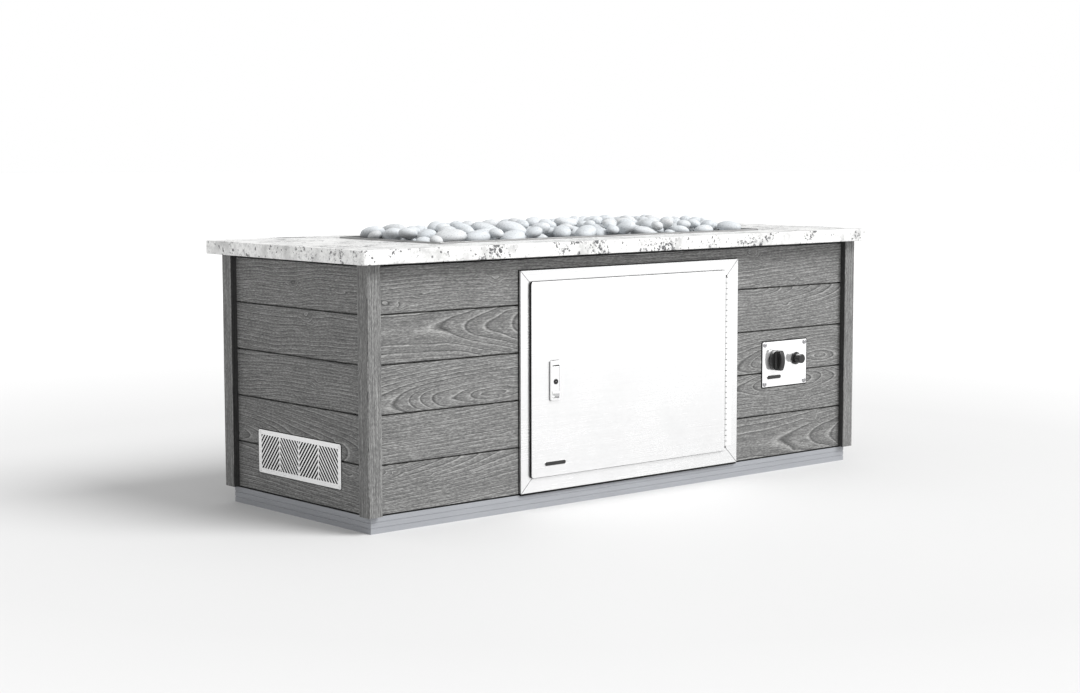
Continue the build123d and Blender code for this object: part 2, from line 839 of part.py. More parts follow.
frame_sides = []
for start, along, inward, length in frame_runs:
    side = mitred_bar(start, along, inward, length, frame_outline, seam=mitre_seam)
    with BuildPart() as frame_side:
        add(side)
        with Locations((-jamb_x, bolt_y + bolt_thickness / 2, latch_z)):
            Box(4 * sheet, bolt_slot_depth, bolt_slot_height, mode=Mode.SUBTRACT)
    frame_sides.append(frame_side.part)
save_group(frame_sides, "door_frame")

# Door skin: shallow pan with rounded corners and a cut-out for the latch
door_plane = Plane(origin=(0, door_front, 0), x_dir=(1, 0, 0), z_dir=(0, -1, 0))
door_mid_x = (door_right - door_left) / 2
door_mid_z = (door_z0 + door_z1) / 2
door_width = door_left + door_right
with BuildPart() as skin:
    with BuildSketch(door_plane):
        with Locations((door_mid_x, door_mid_z)):
            RectangleRounded(door_width, door_height, door_corner)
    extrude(amount=-door_return)
    fillet(skin.faces().sort_by(Axis.Y)[0].edges(), door_sheet)
    with BuildSketch(door_plane.offset(-door_sheet)):
        with Locations((door_mid_x, door_mid_z)):
            RectangleRounded(
                door_width - 2 * door_sheet, door_height - 2 * door_sheet, door_corner - door_sheet
            )
    extrude(amount=-door_return, mode=Mode.SUBTRACT)
    with BuildSketch(door_plane):
        with Locations((latch_x, latch_z)):
            Rectangle(latch_body_width + 2 * latch_cut_fit, latch_body_height + 2 * latch_cut_fit)
    extrude(amount=-door_sheet, mode=Mode.SUBTRACT)
save(skin.part, "door_skin")

# Door liner: deeper pan inside the frame opening, slotted for the bolt
liner_left = -jamb_x + liner_inset
liner_right = door_right - hinge_leaf + liner_inset
liner_low = board_base + door_frame_face + liner_inset
liner_high = door_frame_top - door_frame_face - liner_inset
liner_place = ((liner_left + liner_right) / 2, (liner_low + liner_high) / 2)
with BuildPart() as liner:
    with BuildSketch(door_plane.offset(-door_sheet)):
        with Locations(liner_place):
            RectangleRounded(liner_right - liner_left, liner_high - liner_low, door_corner)
    extrude(amount=-liner_depth)
    with BuildSketch(door_plane.offset(-door_sheet)):
        with Locations(liner_place):
            RectangleRounded(
                liner_right - liner_left - 2 * door_sheet,
                liner_high - liner_low - 2 * door_sheet,
                door_corner - door_sheet,
            )
    extrude(amount=-liner_depth + door_sheet, mode=Mode.SUBTRACT)
    with Locations((liner_left, bolt_y + bolt_thickness / 2, latch_z)):
        Box(4 * door_sheet, bolt_slot_depth, bolt_slot_height, mode=Mode.SUBTRACT)
save(liner.part, "door_liner")

# Piano hinge: two leaves with alternate knuckles on one pin
knuckle_pitch = (hinge_z1 - hinge_z0) / hinge_knuckles
frame_leaf_y = door_frame_front - hinge_sheet / 2
door_leaf_y = door_front + door_return + hinge_sheet / 2
hinge_leaves = (
    ("hinge_leaf_frame", 0, 1, frame_leaf_y, hinge_leaf),
    ("hinge_leaf_door", 1, -1, door_leaf_y, hinge_leaf - liner_inset - door_sheet),
)
for node, first, way, leaf_y, leaf_width in hinge_leaves:
    with BuildPart() as leaf:
        leaf_near = hinge_x + way * (hinge_radius + hinge_gap)
        leaf_far = leaf_near + way * (leaf_width - hinge_radius)
        with Locations(((leaf_near + leaf_far) / 2, leaf_y, (hinge_z0 + hinge_z1) / 2)):
            Box(abs(leaf_far - leaf_near), hinge_sheet, hinge_z1 - hinge_z0)
        for knuckle in range(first, hinge_knuckles, 2):
            knuckle_z = hinge_z0 + (knuckle + 0.5) * knuckle_pitch
            with Locations((hinge_x, hinge_y, knuckle_z)):
                Cylinder(hinge_radius, knuckle_pitch - hinge_gap)
            with Locations(((hinge_x + leaf_near + way) / 2, leaf_y, knuckle_z)):
                Box(abs(leaf_near + way - hinge_x), hinge_sheet, knuckle_pitch - hinge_gap)
        with Locations((hinge_x, hinge_y, (hinge_z0 + hinge_z1) / 2)):
            Cylinder(hinge_bore, hinge_z1 - hinge_z0, mode=Mode.SUBTRACT)
    save(leaf.part, node)

with BuildPart() as hinge_pin:
    with BuildSketch(Plane((hinge_x, hinge_y, hinge_z0 - pin_end))):
        Circle(hinge_pin_radius)
    extrude(amount=hinge_z1 - hinge_z0 + 2 * pin_end)
    with BuildSketch(Plane((hinge_x, hinge_y, hinge_z1))):
        Circle(hinge_radius - pin_end)
    extrude(amount=pin_head)
save(hinge_pin.part, "hinge_pin")

# Latch plane: origin at the middle of the latch on the door's face
latch_plane = Plane(origin=(latch_x, door_front, latch_z), x_dir=(1, 0, 0), z_dir=(0, -1, 0))
pivot_depth = latch_proud / 2
pivot_length = paddle_width + 2 * pivot_reach
pocket_height = pocket_top + pocket_bottom
pocket_mid = (pocket_top - pocket_bottom) / 2

# Latch housing: bezel on the skin, body behind it, pocket for the paddle, channel for the bolt
with BuildPart() as housing:
    with BuildSketch(latch_plane):
        RectangleRounded(latch_width, latch_height, latch_corner)
    extrude(amount=latch_proud)
    fillet(housing.faces().sort_by(Axis.Y)[0].edges(), latch_edge)
    with BuildSketch(latch_plane):
        Rectangle(latch_body_width, latch_body_height)
    extrude(amount=-latch_body_depth)
    with BuildSketch(latch_plane.offset(-latch_wall)):
        with Locations((0, pocket_mid)):
            RectangleRounded(pocket_width, pocket_height, pocket_corner)
    extrude(amount=latch_wall + latch_proud, mode=Mode.SUBTRACT)
    channel_end = bolt_travel - bolt_inset + bolt_end_room
    channel_start = -latch_body_width / 2
    with BuildSketch(latch_plane.offset(-bolt_depth + slide_fit)):
        with Locations(((channel_start + channel_end) / 2, 0)):
            Rectangle(channel_end - channel_start, bolt_height + 2 * slide_fit)
    extrude(amount=-bolt_thickness - 2 * slide_fit, mode=Mode.SUBTRACT)
    with Locations((latch_x, door_front - pivot_depth, latch_z + paddle_pivot)):
        Cylinder(
            pivot_radius + turn_fit,
            pivot_length + 2 * pivot_end_fit,
            rotation=(0, 90, 0),
            mode=Mode.SUBTRACT,
        )
save(housing.part, "latch_housing")

# Latch paddle: flat pull plate with a knuckle at the top, a groove and a rolled finger lip
paddle_face = latch_proud - paddle_inset
with BuildPart() as paddle:
    with BuildSketch(latch_plane.offset(paddle_face - paddle_thickness)):
        with Locations((0, (paddle_pivot - paddle_tip) / 2)):
            Rectangle(paddle_width, paddle_pivot + paddle_tip)
    extrude(amount=paddle_thickness)
    with Locations((latch_x, door_front - pivot_depth, latch_z + paddle_pivot)):
        Cylinder(paddle_knuckle, paddle_width, rotation=(0, 90, 0))
    with Locations((latch_x, door_front - pivot_depth, latch_z - paddle_tip)):
        Cylinder(lip_radius, paddle_width, rotation=(0, 90, 0))
    with Locations((latch_x, door_front - pivot_depth, latch_z + paddle_pivot)):
        Cylinder(pivot_radius + turn_fit, paddle_width, rotation=(0, 90, 0), mode=Mode.SUBTRACT)
    with BuildSketch(latch_plane.offset(paddle_face)):
        with Locations((0, -lock_drop)):
            Circle(lock_radius + turn_fit)
    extrude(amount=-paddle_thickness, mode=Mode.SUBTRACT)
    with BuildSketch(latch_plane.offset(paddle_face)):
        with Locations((0, -lock_drop - lock_radius - paddle_groove_drop)):
            Rectangle(paddle_width, paddle_groove)
    extrude(amount=-paddle_groove_depth, mode=Mode.SUBTRACT)
save(paddle.part, "latch_paddle")

# Pivot pin across the latch housing
with BuildPart() as pivot:
    with Locations((latch_x, door_front - pivot_depth, latch_z + paddle_pivot)):
        Cylinder(pivot_radius, pivot_length, rotation=(0, 90, 0))
save(pivot.part, "latch_pivot_pin")

# Lock cylinder in the paddle, with a key slot
with BuildPart() as lock:
    with BuildSketch(latch_plane.offset(paddle_face - paddle_thickness - lock_tail)):
        with Locations((0, -lock_drop)):
            Circle(lock_radius)
    extrude(amount=paddle_thickness + lock_tail)
    with BuildSketch(latch_plane.offset(paddle_face + turn_fit)):
        with Locations((0, -lock_drop)):
            Circle(lock_radius + lock_flange)
    extrude(amount=lock_face)
    with BuildSketch(latch_plane.offset(paddle_face)):
        with Locations((0, -lock_drop)):
            Circle(lock_radius)
    extrude(amount=lock_face)
    with BuildSketch(latch_plane.offset(paddle_face + lock_face + turn_fit)):
        with Locations((0, -lock_drop)):
            Rectangle(key_slot_width, key_slot_length)
    extrude(amount=-key_slot_depth, mode=Mode.SUBTRACT)
save(lock.part, "lock_cylinder")

# Latch bolt: flat tongue with a sloping tip, from the housing to behind the frame
bolt_tip = -jamb_x - bolt_throw - latch_x
bolt_root = -bolt_inset
with BuildPart() as bolt:
    with BuildSketch(latch_plane.offset(-bolt_depth)):
        with Locations(((bolt_tip + bolt_root) / 2, 0)):
            Rectangle(bolt_root - bolt_tip, bolt_height)
    extrude(amount=-bolt_thickness)
    tip_edge = bolt.edges().filter_by(Axis.Z).group_by(Axis.X)[0].sort_by(Axis.Y)[-1]
    chamfer(tip_edge, bolt_thickness - bolt_nose)
save(bolt.part, "latch_bolt")


# Half-height of a turned ellipsoid over its footprint: roots of its quadratic in z
def stone_shell(stone, dx, dy):
    flat = 2 * (stone[0, 2] * dx + stone[1, 2] * dy)
    rest = stone[0, 0] * dx**2 + 2 * stone[0, 1] * dx * dy + stone[1, 1] * dy**2 - 1
    under = flat**2 - 4 * stone[2, 2] * rest
    inside = under > 0
    root = np.sqrt(np.where(inside, under, 0))
    low = (-flat - root) / (2 * stone[2, 2])
    high = (-flat + root) / (2 * stone[2, 2])
    return inside, low, high


# Turning matrix of a stone, tilted about X and Y and then swung about Z
def stone_turn(tilt_x, tilt_y, swing):
    cx, sx = cos(radians(tilt_x)), sin(radians(tilt_x))
    cy, sy = cos(radians(tilt_y)), sin(radians(tilt_y))
    cz, sz = cos(radians(swing)), sin(radians(swing))
    about_x = np.array([[1, 0, 0], [0, cx, -sx], [0, sx, cx]])
    about_y = np.array([[cy, 0, sy], [0, 1, 0], [-sy, 0, cy]])
    about_z = np.array([[cz, -sz, 0], [sz, cz, 0], [0, 0, 1]])
    return about_x @ about_y @ about_z


# Pebbles: each stone is lowered on the heap where it comes to rest lowest, under a domed limit
half_x = pan_length / 2 - tray_sheet
half_y = pan_width / 2 - tray_sheet
grid_x = np.arange(-half_x, half_x + pebble_grid, pebble_grid)
grid_y = np.arange(-half_y, half_y + pebble_grid, pebble_grid)
heap = np.full((len(grid_x), len(grid_y)), float(tray_floor))
along_tube = np.abs(grid_x) < burner_length / 2 + pebble_grid
across_tube = np.abs(grid_y) < burner_radius + pebble_grid
over_tube = along_tube[:, None] & across_tube[None, :]
tube_top = burner_z + np.sqrt(np.maximum(burner_radius**2 - grid_y**2, 0))
heap = np.where(over_tube, np.maximum(heap, tube_top[None, :]), heap)
from_hub = np.hypot(grid_x[:, None], grid_y[None, :])
near_hub = from_hub < hub_radius + hub_collar + pebble_grid
heap = np.where(near_hub, np.maximum(heap, tray_floor + hub_cover), heap)
electrode_top = burner_z + burner_radius + electrode_cover
from_electrode = np.hypot(grid_x[:, None] - electrode_x, grid_y[None, :] - electrode_y)
heap = np.where(from_electrode < electrode_clear, np.maximum(heap, electrode_top), heap)
near_tip = np.hypot(grid_x[:, None] - electrode_x, grid_y[None, :] - electrode_y + burner_radius)
heap = np.where(near_tip < electrode_clear, np.maximum(heap, electrode_top), heap)

ellipsoids = []
for half_long, half_wide, half_thick in pebble_sizes:
    with BuildPart() as ellipsoid:
        Sphere(1)
        scale(by=(half_long, half_wide, half_thick))
    ellipsoids.append(ellipsoid.part.solids()[0])

pebbles = []
for attempt in range(pebble_tries):
    large = len(pebble_sizes) - pebble_small
    kind = attempt % large if attempt < pebble_tries / 2 else large + attempt % pebble_small
    half_lengths = np.array(pebble_sizes[kind])
    tilt_x = pebble_tilt * sin(attempt * 2.4)
    tilt_y = pebble_tilt * sin(attempt * 3.7 + 1)
    swing = (attempt * pebble_swing) % 360
    turn = stone_turn(tilt_x, tilt_y, swing)
    stone = turn @ np.diag(1 / half_lengths**2) @ turn.T
    spread = np.sqrt(np.diag(turn @ np.diag(half_lengths**2) @ turn.T))
    best = None
    for look in range(pebble_looks):
        step = attempt * pebble_looks + look + 1
        x = (2 * ((step * pebble_step_x) % 1) - 1) * (half_x - spread[0] - 1)
        y = (2 * ((step * pebble_step_y) % 1) - 1) * (half_y - spread[1] - 1)
        span_x = slice(*np.searchsorted(grid_x, (x - spread[0], x + spread[0])))
        span_y = slice(*np.searchsorted(grid_y, (y - spread[1], y + spread[1])))
        inside, low, high = stone_shell(stone, grid_x[span_x, None] - x, grid_y[None, span_y] - y)
        z = np.max(np.where(inside, heap[span_x, span_y] - low, 0)) + pebble_gap
        dome = (1 - (x / half_x) ** 4) * (1 - (y / half_y) ** 2)
        limit = slab_top + pebble_edge_heap + (pebble_middle_heap - pebble_edge_heap) * dome
        room = limit - z - spread[2]
        if room > 0 and (best is None or room > best[0]):
            best = (room, x, y, z, span_x, span_y, inside, high)
    if best:
        room, x, y, z, span_x, span_y, inside, high = best
        patch = heap[span_x, span_y]
        heap[span_x, span_y] = np.where(inside, np.maximum(patch, z + high), patch)
        pebbles.append(Location((x, y, z), (tilt_x, tilt_y, swing)) * ellipsoids[kind])
save_group(pebbles, "pebbles")
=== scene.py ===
import math

import bpy
import numpy as np
from mathutils import Matrix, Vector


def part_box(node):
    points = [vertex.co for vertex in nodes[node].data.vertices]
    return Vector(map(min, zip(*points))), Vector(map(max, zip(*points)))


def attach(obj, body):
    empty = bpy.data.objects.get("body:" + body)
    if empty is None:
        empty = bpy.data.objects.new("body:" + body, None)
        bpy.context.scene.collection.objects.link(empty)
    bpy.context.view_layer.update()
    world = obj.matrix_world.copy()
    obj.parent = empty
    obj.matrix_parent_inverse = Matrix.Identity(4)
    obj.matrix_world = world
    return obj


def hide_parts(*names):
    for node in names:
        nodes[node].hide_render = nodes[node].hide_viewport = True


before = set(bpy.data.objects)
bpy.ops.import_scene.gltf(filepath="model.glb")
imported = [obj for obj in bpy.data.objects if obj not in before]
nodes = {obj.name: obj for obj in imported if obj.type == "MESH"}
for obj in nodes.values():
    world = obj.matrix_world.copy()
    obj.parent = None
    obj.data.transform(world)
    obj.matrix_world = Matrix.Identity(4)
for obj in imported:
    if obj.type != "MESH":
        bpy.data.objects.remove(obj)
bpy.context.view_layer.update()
scene = bpy.context.scene
print("frame loaded:", len(nodes), "nodes")


# Faces of a grid of points, row by row; closeRows and closeCols join the last to the first
def gridFaces(rows, cols, closeRows=False, closeCols=False):
    r = np.arange(rows if closeRows else rows - 1)[:, None]
    c = np.arange(cols if closeCols else cols - 1)[None, :]
    rNext = (r + 1) % rows
    cNext = (c + 1) % cols
    quads = np.stack([r * cols + c, r * cols + cNext, rNext * cols + cNext, rNext * cols + c], axis=-1)
    return quads.reshape(-1, 4)


# Flat faces over the first and the last row of a grid
def endFaces(rows, cols):
    return [list(range(cols))[::-1], list(range((rows - 1) * cols, rows * cols))]


# Mesh object from an array of points and a list of faces
def addPiece(name, points, faces, *finishes):
    mesh = bpy.data.meshes.new(name)
    mesh.from_pydata(points.reshape(-1, 3).tolist(), [], faces)
    for finish in finishes:
        mesh.materials.append(finish)
    piece = bpy.data.objects.new(name, mesh)
    scene.collection.objects.link(piece)
    return piece


# A value goes on the socket, a socket is linked to it
def wire(tree, value, socket):
    if isinstance(value, bpy.types.NodeSocket):
        tree.links.new(value, socket)
    else:
        socket.default_value = value


def newFinish(name, **sockets):
    material = bpy.data.materials.new(name)
    material.use_nodes = True
    tree = material.node_tree
    shader = tree.nodes["Principled BSDF"]
    for key, value in sockets.items():
        shader.inputs[key.replace("_", " ")].default_value = value
    return material, tree, shader


def addNode(tree, kind, inputs, **settings):
    node = tree.nodes.new("ShaderNode" + kind)
    for key, value in settings.items():
        setattr(node, key, value)
    for key, value in inputs.items():
        wire(tree, value, node.inputs[key])
    return node


def calc(tree, operation, *values):
    return addNode(tree, "Math", dict(enumerate(values)), operation=operation).outputs[0]


def vectorCalc(tree, operation, *values):
    return addNode(tree, "VectorMath", dict(enumerate(values)), operation=operation).outputs[0]


def ownCoords(tree):
    return addNode(tree, "TexCoord", {}).outputs["Object"]


def splitUp(tree, vector):
    return addNode(tree, "SeparateXYZ", {0: vector}).outputs


# Square root of the sum of two squares
def hypot(tree, first, second):
    square = calc(tree, "MULTIPLY", second, second)
    return calc(tree, "SQRT", calc(tree, "MULTIPLY_ADD", first, first, square))


# Noise in space; its output 0 is a number, 1 a colour
def cloud(tree, vector, scale=1.0, detail=2.0, roughness=0.5, distortion=0.0, output=0):
    sockets = {
        "Vector": vector,
        "Scale": scale,
        "Detail": detail,
        "Roughness": roughness,
        "Distortion": distortion,
    }
    return addNode(tree, "TexNoise", sockets).outputs[output]


# Noise in space that is drawn out by three factors
def streaks(tree, vector, factors, detail=2.0, roughness=0.5):
    return cloud(tree, vectorCalc(tree, "MULTIPLY", vector, factors), 1.0, detail, roughness)


# Noise along one number
def bands(tree, value, scale):
    sockets = {"W": value, "Scale": scale, "Detail": 2.0}
    return addNode(tree, "TexNoise", sockets, noise_dimensions="1D").outputs[0]


def spread(tree, value, low, high, newLow=0.0, newHigh=1.0):
    sockets = {0: value, 1: low, 2: high, 3: newLow, 4: newHigh}
    return addNode(tree, "MapRange", sockets).outputs[0]


def ramp(tree, value, *stops):
    node = addNode(tree, "ValToRGB", {0: value})
    elements = node.color_ramp.elements
    while len(elements) < len(stops):
        elements.new(0.5)
    for element, (position, colour) in zip(elements, stops):
        element.position = position
        element.color = (*colour, 1)
    return node.outputs[0]


noiseLimits = (0.3, 0.7)  # nearly all of a noise lies between these


def evenOut(tree, noise, newLow=0.0, newHigh=1.0):
    return spread(tree, noise, *noiseLimits, newLow, newHigh)


def twoTone(tree, noise, first, second):
    return ramp(tree, noise, *zip(noiseLimits, (first, second)))


def blendColours(tree, factor, first, second):
    node = addNode(tree, "Mix", {0: factor}, data_type="RGBA")
    for value, socket in ((first, node.inputs[6]), (second, node.inputs[7])):
        wire(tree, value if isinstance(value, bpy.types.NodeSocket) else (*value, 1), socket)
    return node.outputs[2]


def paint(tree, shader, colour, gloss):
    tree.links.new(colour, shader.inputs["Base Color"])
    tree.links.new(gloss, shader.inputs["Roughness"])


def emboss(tree, shader, height, depth, strength):
    node = addNode(tree, "Bump", {"Height": height, "Distance": depth, "Strength": strength})
    tree.links.new(node.outputs[0], shader.inputs["Normal"])


def grey(value):
    return (value, value, value)


def scaled(colour, factor):
    return [min(1.0, factor * c) for c in colour]


def dress(finish, names):
    for name in names:
        for slot in nodes[name].material_slots:
            slot.material = finish


# Polished white granite: a white ground mottled with fine grey, and dark flecks and ragged patches in drifts.
# A noise is given as its scale, detail, roughness and distortion, and emboss as depth and strength
granite = {
    "white": (0.80, 0.80, 0.79),
    "bright": (0.88, 0.88, 0.87),
    "ash": (0.50, 0.50, 0.495),
    "smoke": (0.20, 0.20, 0.205),
    "dark": (0.045, 0.045, 0.05),
    "warp": (60, 4, 0.65),
    "warpReach": 0.018,
    "ground": (14, 5, 0.62),
    "groundStops": (0.34, 0.50, 0.72),
    "mottle": (130, 3, 0.65),
    "mottleRange": (0.46, 0.64, 0.0, 0.62),
    "drift": (8, 5, 0.6, 1.1),
    "driftShape": (1.0, 1.0, 0.6),
    "driftRange": (0.52, 0.68),
    "ragged": (85, 6, 0.72),
    "raggedLift": (0.20, -0.60),  # share of the drift, and what is taken off
    "smokeRange": (0.0, 0.05),
    "smokeCover": 0.6,
    "coreRange": (0.06, 0.09),
    "fleckScale": 210,
    "fleckOdds": (0.36, 0.012),  # in a drift, and anywhere
    "darkCover": 0.9,
    "roughness": (0.28, 0.38),
    "emboss": (0.00008, 0.3),
}


def graniteFinish(look):
    material, tree, shader = newFinish("whiteGranite")
    place = ownCoords(tree)
    bend = vectorCalc(tree, "SUBTRACT", cloud(tree, place, *look["warp"], output=1), grey(0.5))
    bent = vectorCalc(tree, "MULTIPLY_ADD", bend, grey(look["warpReach"]), place)
    ground = cloud(tree, bent, *look["ground"])
    colour = ramp(tree, ground, *zip(look["groundStops"], (look["ash"], look["white"], look["bright"])))
    mottle = spread(tree, cloud(tree, bent, *look["mottle"]), *look["mottleRange"])
    colour = blendColours(tree, mottle, colour, look["ash"])
    drift = cloud(tree, vectorCalc(tree, "MULTIPLY", place, look["driftShape"]), *look["drift"])
    drift = spread(tree, drift, *look["driftRange"])
    lift = calc(tree, "MULTIPLY_ADD", drift, *look["raggedLift"])
    patch = calc(tree, "ADD", cloud(tree, bent, *look["ragged"]), lift)
    smoky = calc(tree, "MULTIPLY", spread(tree, patch, *look["smokeRange"]), look["smokeCover"])
    colour = blendColours(tree, smoky, colour, look["smoke"])
    cells = addNode(tree, "TexVoronoi", {"Vector": bent, "Scale": look["fleckScale"]})
    dice = splitUp(tree, cells.outputs["Color"])
    fleck = calc(tree, "LESS_THAN", dice[0], calc(tree, "MULTIPLY_ADD", drift, *look["fleckOdds"]))
    dark = calc(tree, "MAXIMUM", fleck, spread(tree, patch, *look["coreRange"]))
    colour = blendColours(tree, calc(tree, "MULTIPLY", dark, look["darkCover"]), colour, look["dark"])
    paint(tree, shader, colour, spread(tree, dice[2], 0, 1, *look["roughness"]))
    emboss(tree, shader, ground, *look["emboss"])
    return material


# Embossed composite board: rings of distance sqrt(side^2 + depth^2) from a pith, whose depth under the face
# swings as a sine along the board. Fibres and dashes lie along the board, and the trims' edges that face the
# boards are painted nearly black as shade. A pattern is given as its factors along, across and into the board
board = {
    "dark": grey(0.044),
    "mid": (0.140, 0.140, 0.138),
    "pale": (0.39, 0.39, 0.382),
    "toneStops": (0.18, 0.55, 0.95),
    "startRange": 7.0,
    "archLength": 1.7,
    "archDepth": 0.10,
    "offCentre": 0.40,
    "sway": (3, 5, 5),
    "swayReach": 0.03,
    "swayTurn": 0.6,
    "ripple": (30, 60, 40),
    "rippleReach": 0.0028,
    "curl": (6, 14, 10),
    "curlRange": (0.66, 0.80),
    "curlReach": 0.02,
    "rings": 124.0,
    "unevenScale": 30.0,
    "unevenReach": 2.0,
    "ringTones": ((0.0, 0.02), (0.12, 1.0), (0.28, 0.60), (0.86, 0.50), (1.0, 0.02)),
    "fineScale": 260.0,
    "fibre": (15, 330, 120),
    "fibreDetail": (4, 0.62),
    "dash": (115, 420, 300),
    "blotch": (5, 22, 22),
    "pore": (70, 1500, 1500),
    "poreDetail": (2, 0.6),
    "poreRange": (0.30, 0.46, 1.0, 0.0),
    "weights": {"blotch": 0.06, "ring": 0.47, "fine": 0.08, "fibre": 0.26, "dash": 0.28, "pore": -0.16},
    # painted shade: the trims' edges that face the boards are coloured nearly black
    "trimEdgeShade": grey(0.012),
    "trimEdgeShadeCover": 0.85,
    "trimEdgeShadeSkin": 0.0006,
    "shine": 0.35,
    "roughness": (0.82, 0.58),
    "emboss": (0.0015, 0.8),
}
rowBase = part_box("left_board_1")[0].z
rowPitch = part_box("left_board_2")[0].z - rowBase


# Ring distance: root of side squared plus depth squared, bent by sway, ripple and curl
def ringDistance(tree, dice, start, across, flow, look):
    sway = calc(tree, "SUBTRACT", streaks(tree, flow, look["sway"]), 0.5)
    ripple = calc(tree, "SUBTRACT", streaks(tree, flow, look["ripple"]), 0.5)
    curl = spread(tree, streaks(tree, flow, look["curl"], 1), *look["curlRange"])
    pith = calc(tree, "SUBTRACT", dice[1], 0.5)
    side = calc(tree, "MULTIPLY_ADD", pith, look["offCentre"], across)
    side = calc(tree, "MULTIPLY_ADD", sway, look["swayReach"], side)
    side = calc(tree, "MULTIPLY_ADD", ripple, look["rippleReach"], side)
    side = calc(tree, "MULTIPLY_ADD", curl, look["curlReach"], side)
    lag = calc(tree, "MULTIPLY", sway, look["swayTurn"])
    turn = calc(tree, "MULTIPLY_ADD", start, math.pi / look["archLength"], lag)
    depth = calc(tree, "MULTIPLY", calc(tree, "SINE", turn), look["archDepth"])
    return hypot(tree, side, depth)


# The trims' edges that face the boards, which get painted shade, are the two sides nearest to the middle of
# the object
def shadedTrimEdges(tree, x, y, skin):
    low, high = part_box("corner_trim_front_right")
    shadedX = calc(tree, "LESS_THAN", calc(tree, "ABSOLUTE", x), low.x + skin)
    shadedY = calc(tree, "LESS_THAN", calc(tree, "ABSOLUTE", y), -high.y + skin)
    return calc(tree, "MAXIMUM", shadedX, shadedY)


def boardFinish(name, along, shift, look):
    material, tree, shader = newFinish(name, Specular_IOR_Level=look["shine"])
    x, y, z = splitUp(tree, ownCoords(tree))
    if along == "z":
        run = z
        deep = calc(tree, "SUBTRACT", x, y)
        across = calc(tree, "ADD", x, y)
        row = 0.0
    else:
        run, deep = (x, y) if along == "x" else (y, x)
        level = calc(tree, "DIVIDE", calc(tree, "SUBTRACT", z, rowBase), rowPitch)
        row = calc(tree, "FLOOR", level)
        within = calc(tree, "SUBTRACT", calc(tree, "SUBTRACT", level, row), 0.5)
        across = calc(tree, "MULTIPLY", within, rowPitch)
    seed = calc(tree, "ADD", row, shift)
    dice = addNode(tree, "TexWhiteNoise", {"W": seed}, noise_dimensions="1D").outputs["Color"]
    dice = splitUp(tree, dice)
    start = calc(tree, "MULTIPLY_ADD", dice[0], look["startRange"], run)
    flow = addNode(tree, "CombineXYZ", {0: start, 1: across, 2: deep}).outputs[0]
    radius = ringDistance(tree, dice, start, across, flow, look)
    uneven = bands(tree, radius, look["unevenScale"])
    even = calc(tree, "MULTIPLY", radius, look["rings"])
    count = calc(tree, "MULTIPLY_ADD", uneven, look["unevenReach"], even)
    ringStops = [(stop, grey(value)) for stop, value in look["ringTones"]]
    layers = {
        "blotch": evenOut(tree, streaks(tree, flow, look["blotch"])),
        "ring": ramp(tree, calc(tree, "FRACT", count), *ringStops),
        "fine": evenOut(tree, bands(tree, radius, look["fineScale"])),
        "fibre": evenOut(tree, streaks(tree, flow, look["fibre"], *look["fibreDetail"])),
        "dash": evenOut(tree, streaks(tree, flow, look["dash"])),
        "pore": spread(tree, streaks(tree, flow, look["pore"], *look["poreDetail"]), *look["poreRange"]),
    }
    tone = 0.0
    for key, weight in look["weights"].items():
        tone = calc(tree, "MULTIPLY_ADD", layers[key], weight, tone)
    colour = ramp(tree, tone, *zip(look["toneStops"], (look["dark"], look["mid"], look["pale"])))
    # painted shade on the trims: their edges that face the boards are darkened nearly to black
    if along == "z":
        trimEdgeShade = calc(tree, "MULTIPLY", shadedTrimEdges(tree, x, y, look["trimEdgeShadeSkin"]), look["trimEdgeShadeCover"])
        colour = blendColours(tree, trimEdgeShade, colour, look["trimEdgeShade"])
    paint(tree, shader, colour, spread(tree, tone, 0, 1, *look["roughness"]))
    emboss(tree, shader, tone, *look["emboss"])
    return material


# Each set of boards has its own shift, so that no two rows share their grain
boardSets = [
    ("greyBoardFrontLeft", "x", 11.0, [f"front_board_{row}_left" for row in range(1, 5)]),
    ("greyBoardFrontRight", "x", 31.0, [f"front_board_{row}_right" for row in range(1, 5)]),
    ("greyBoardTop", "x", 53.0, ["front_board_5_top"]),
    ("greyBoardBack", "x", 71.0, ["back_boards"]),
    ("greyBoardLeft", "y", 93.0, [f"left_board_{row}" for row in range(1, 6)]),
    ("greyBoardRight", "y", 117.0, [f"right_board_{row}" for row in range(1, 6)]),
    ("greyTrimFrontLeft", "z", 140.5, ["corner_trim_front_left"]),
    ("greyTrimFrontRight", "z", 147.5, ["corner_trim_front_right"]),
    ("greyTrimBackLeft", "z", 154.5, ["corner_trim_back_left"]),
    ("greyTrimBackRight", "z", 161.5, ["corner_trim_back_right"]),
]
dress(graniteFinish(granite), ["countertop"])
for name, along, shift, names in boardSets:
    dress(boardFinish(name, along, shift, board), names)
print("stone and boards dressed")

# Dark places on sheet metal: painted shade on the vent's slot walls behind its face, and a ring at each joint
# of the hinge
slotShadeAndJoints = {"colour": grey(0.01), "ventSkin": 0.00015, "knuckles": 31, "joint": 0.0008, "reach": 0.0045}


# painted shade: the walls of the vent's slots, behind its face, are coloured nearly black
def paintedSlotShade(tree, place, colour):
    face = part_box("vent_right")[1].x - slotShadeAndJoints["ventSkin"]
    away = calc(tree, "ABSOLUTE", splitUp(tree, place)[0])
    return blendColours(tree, calc(tree, "LESS_THAN", away, face), colour, slotShadeAndJoints["colour"])


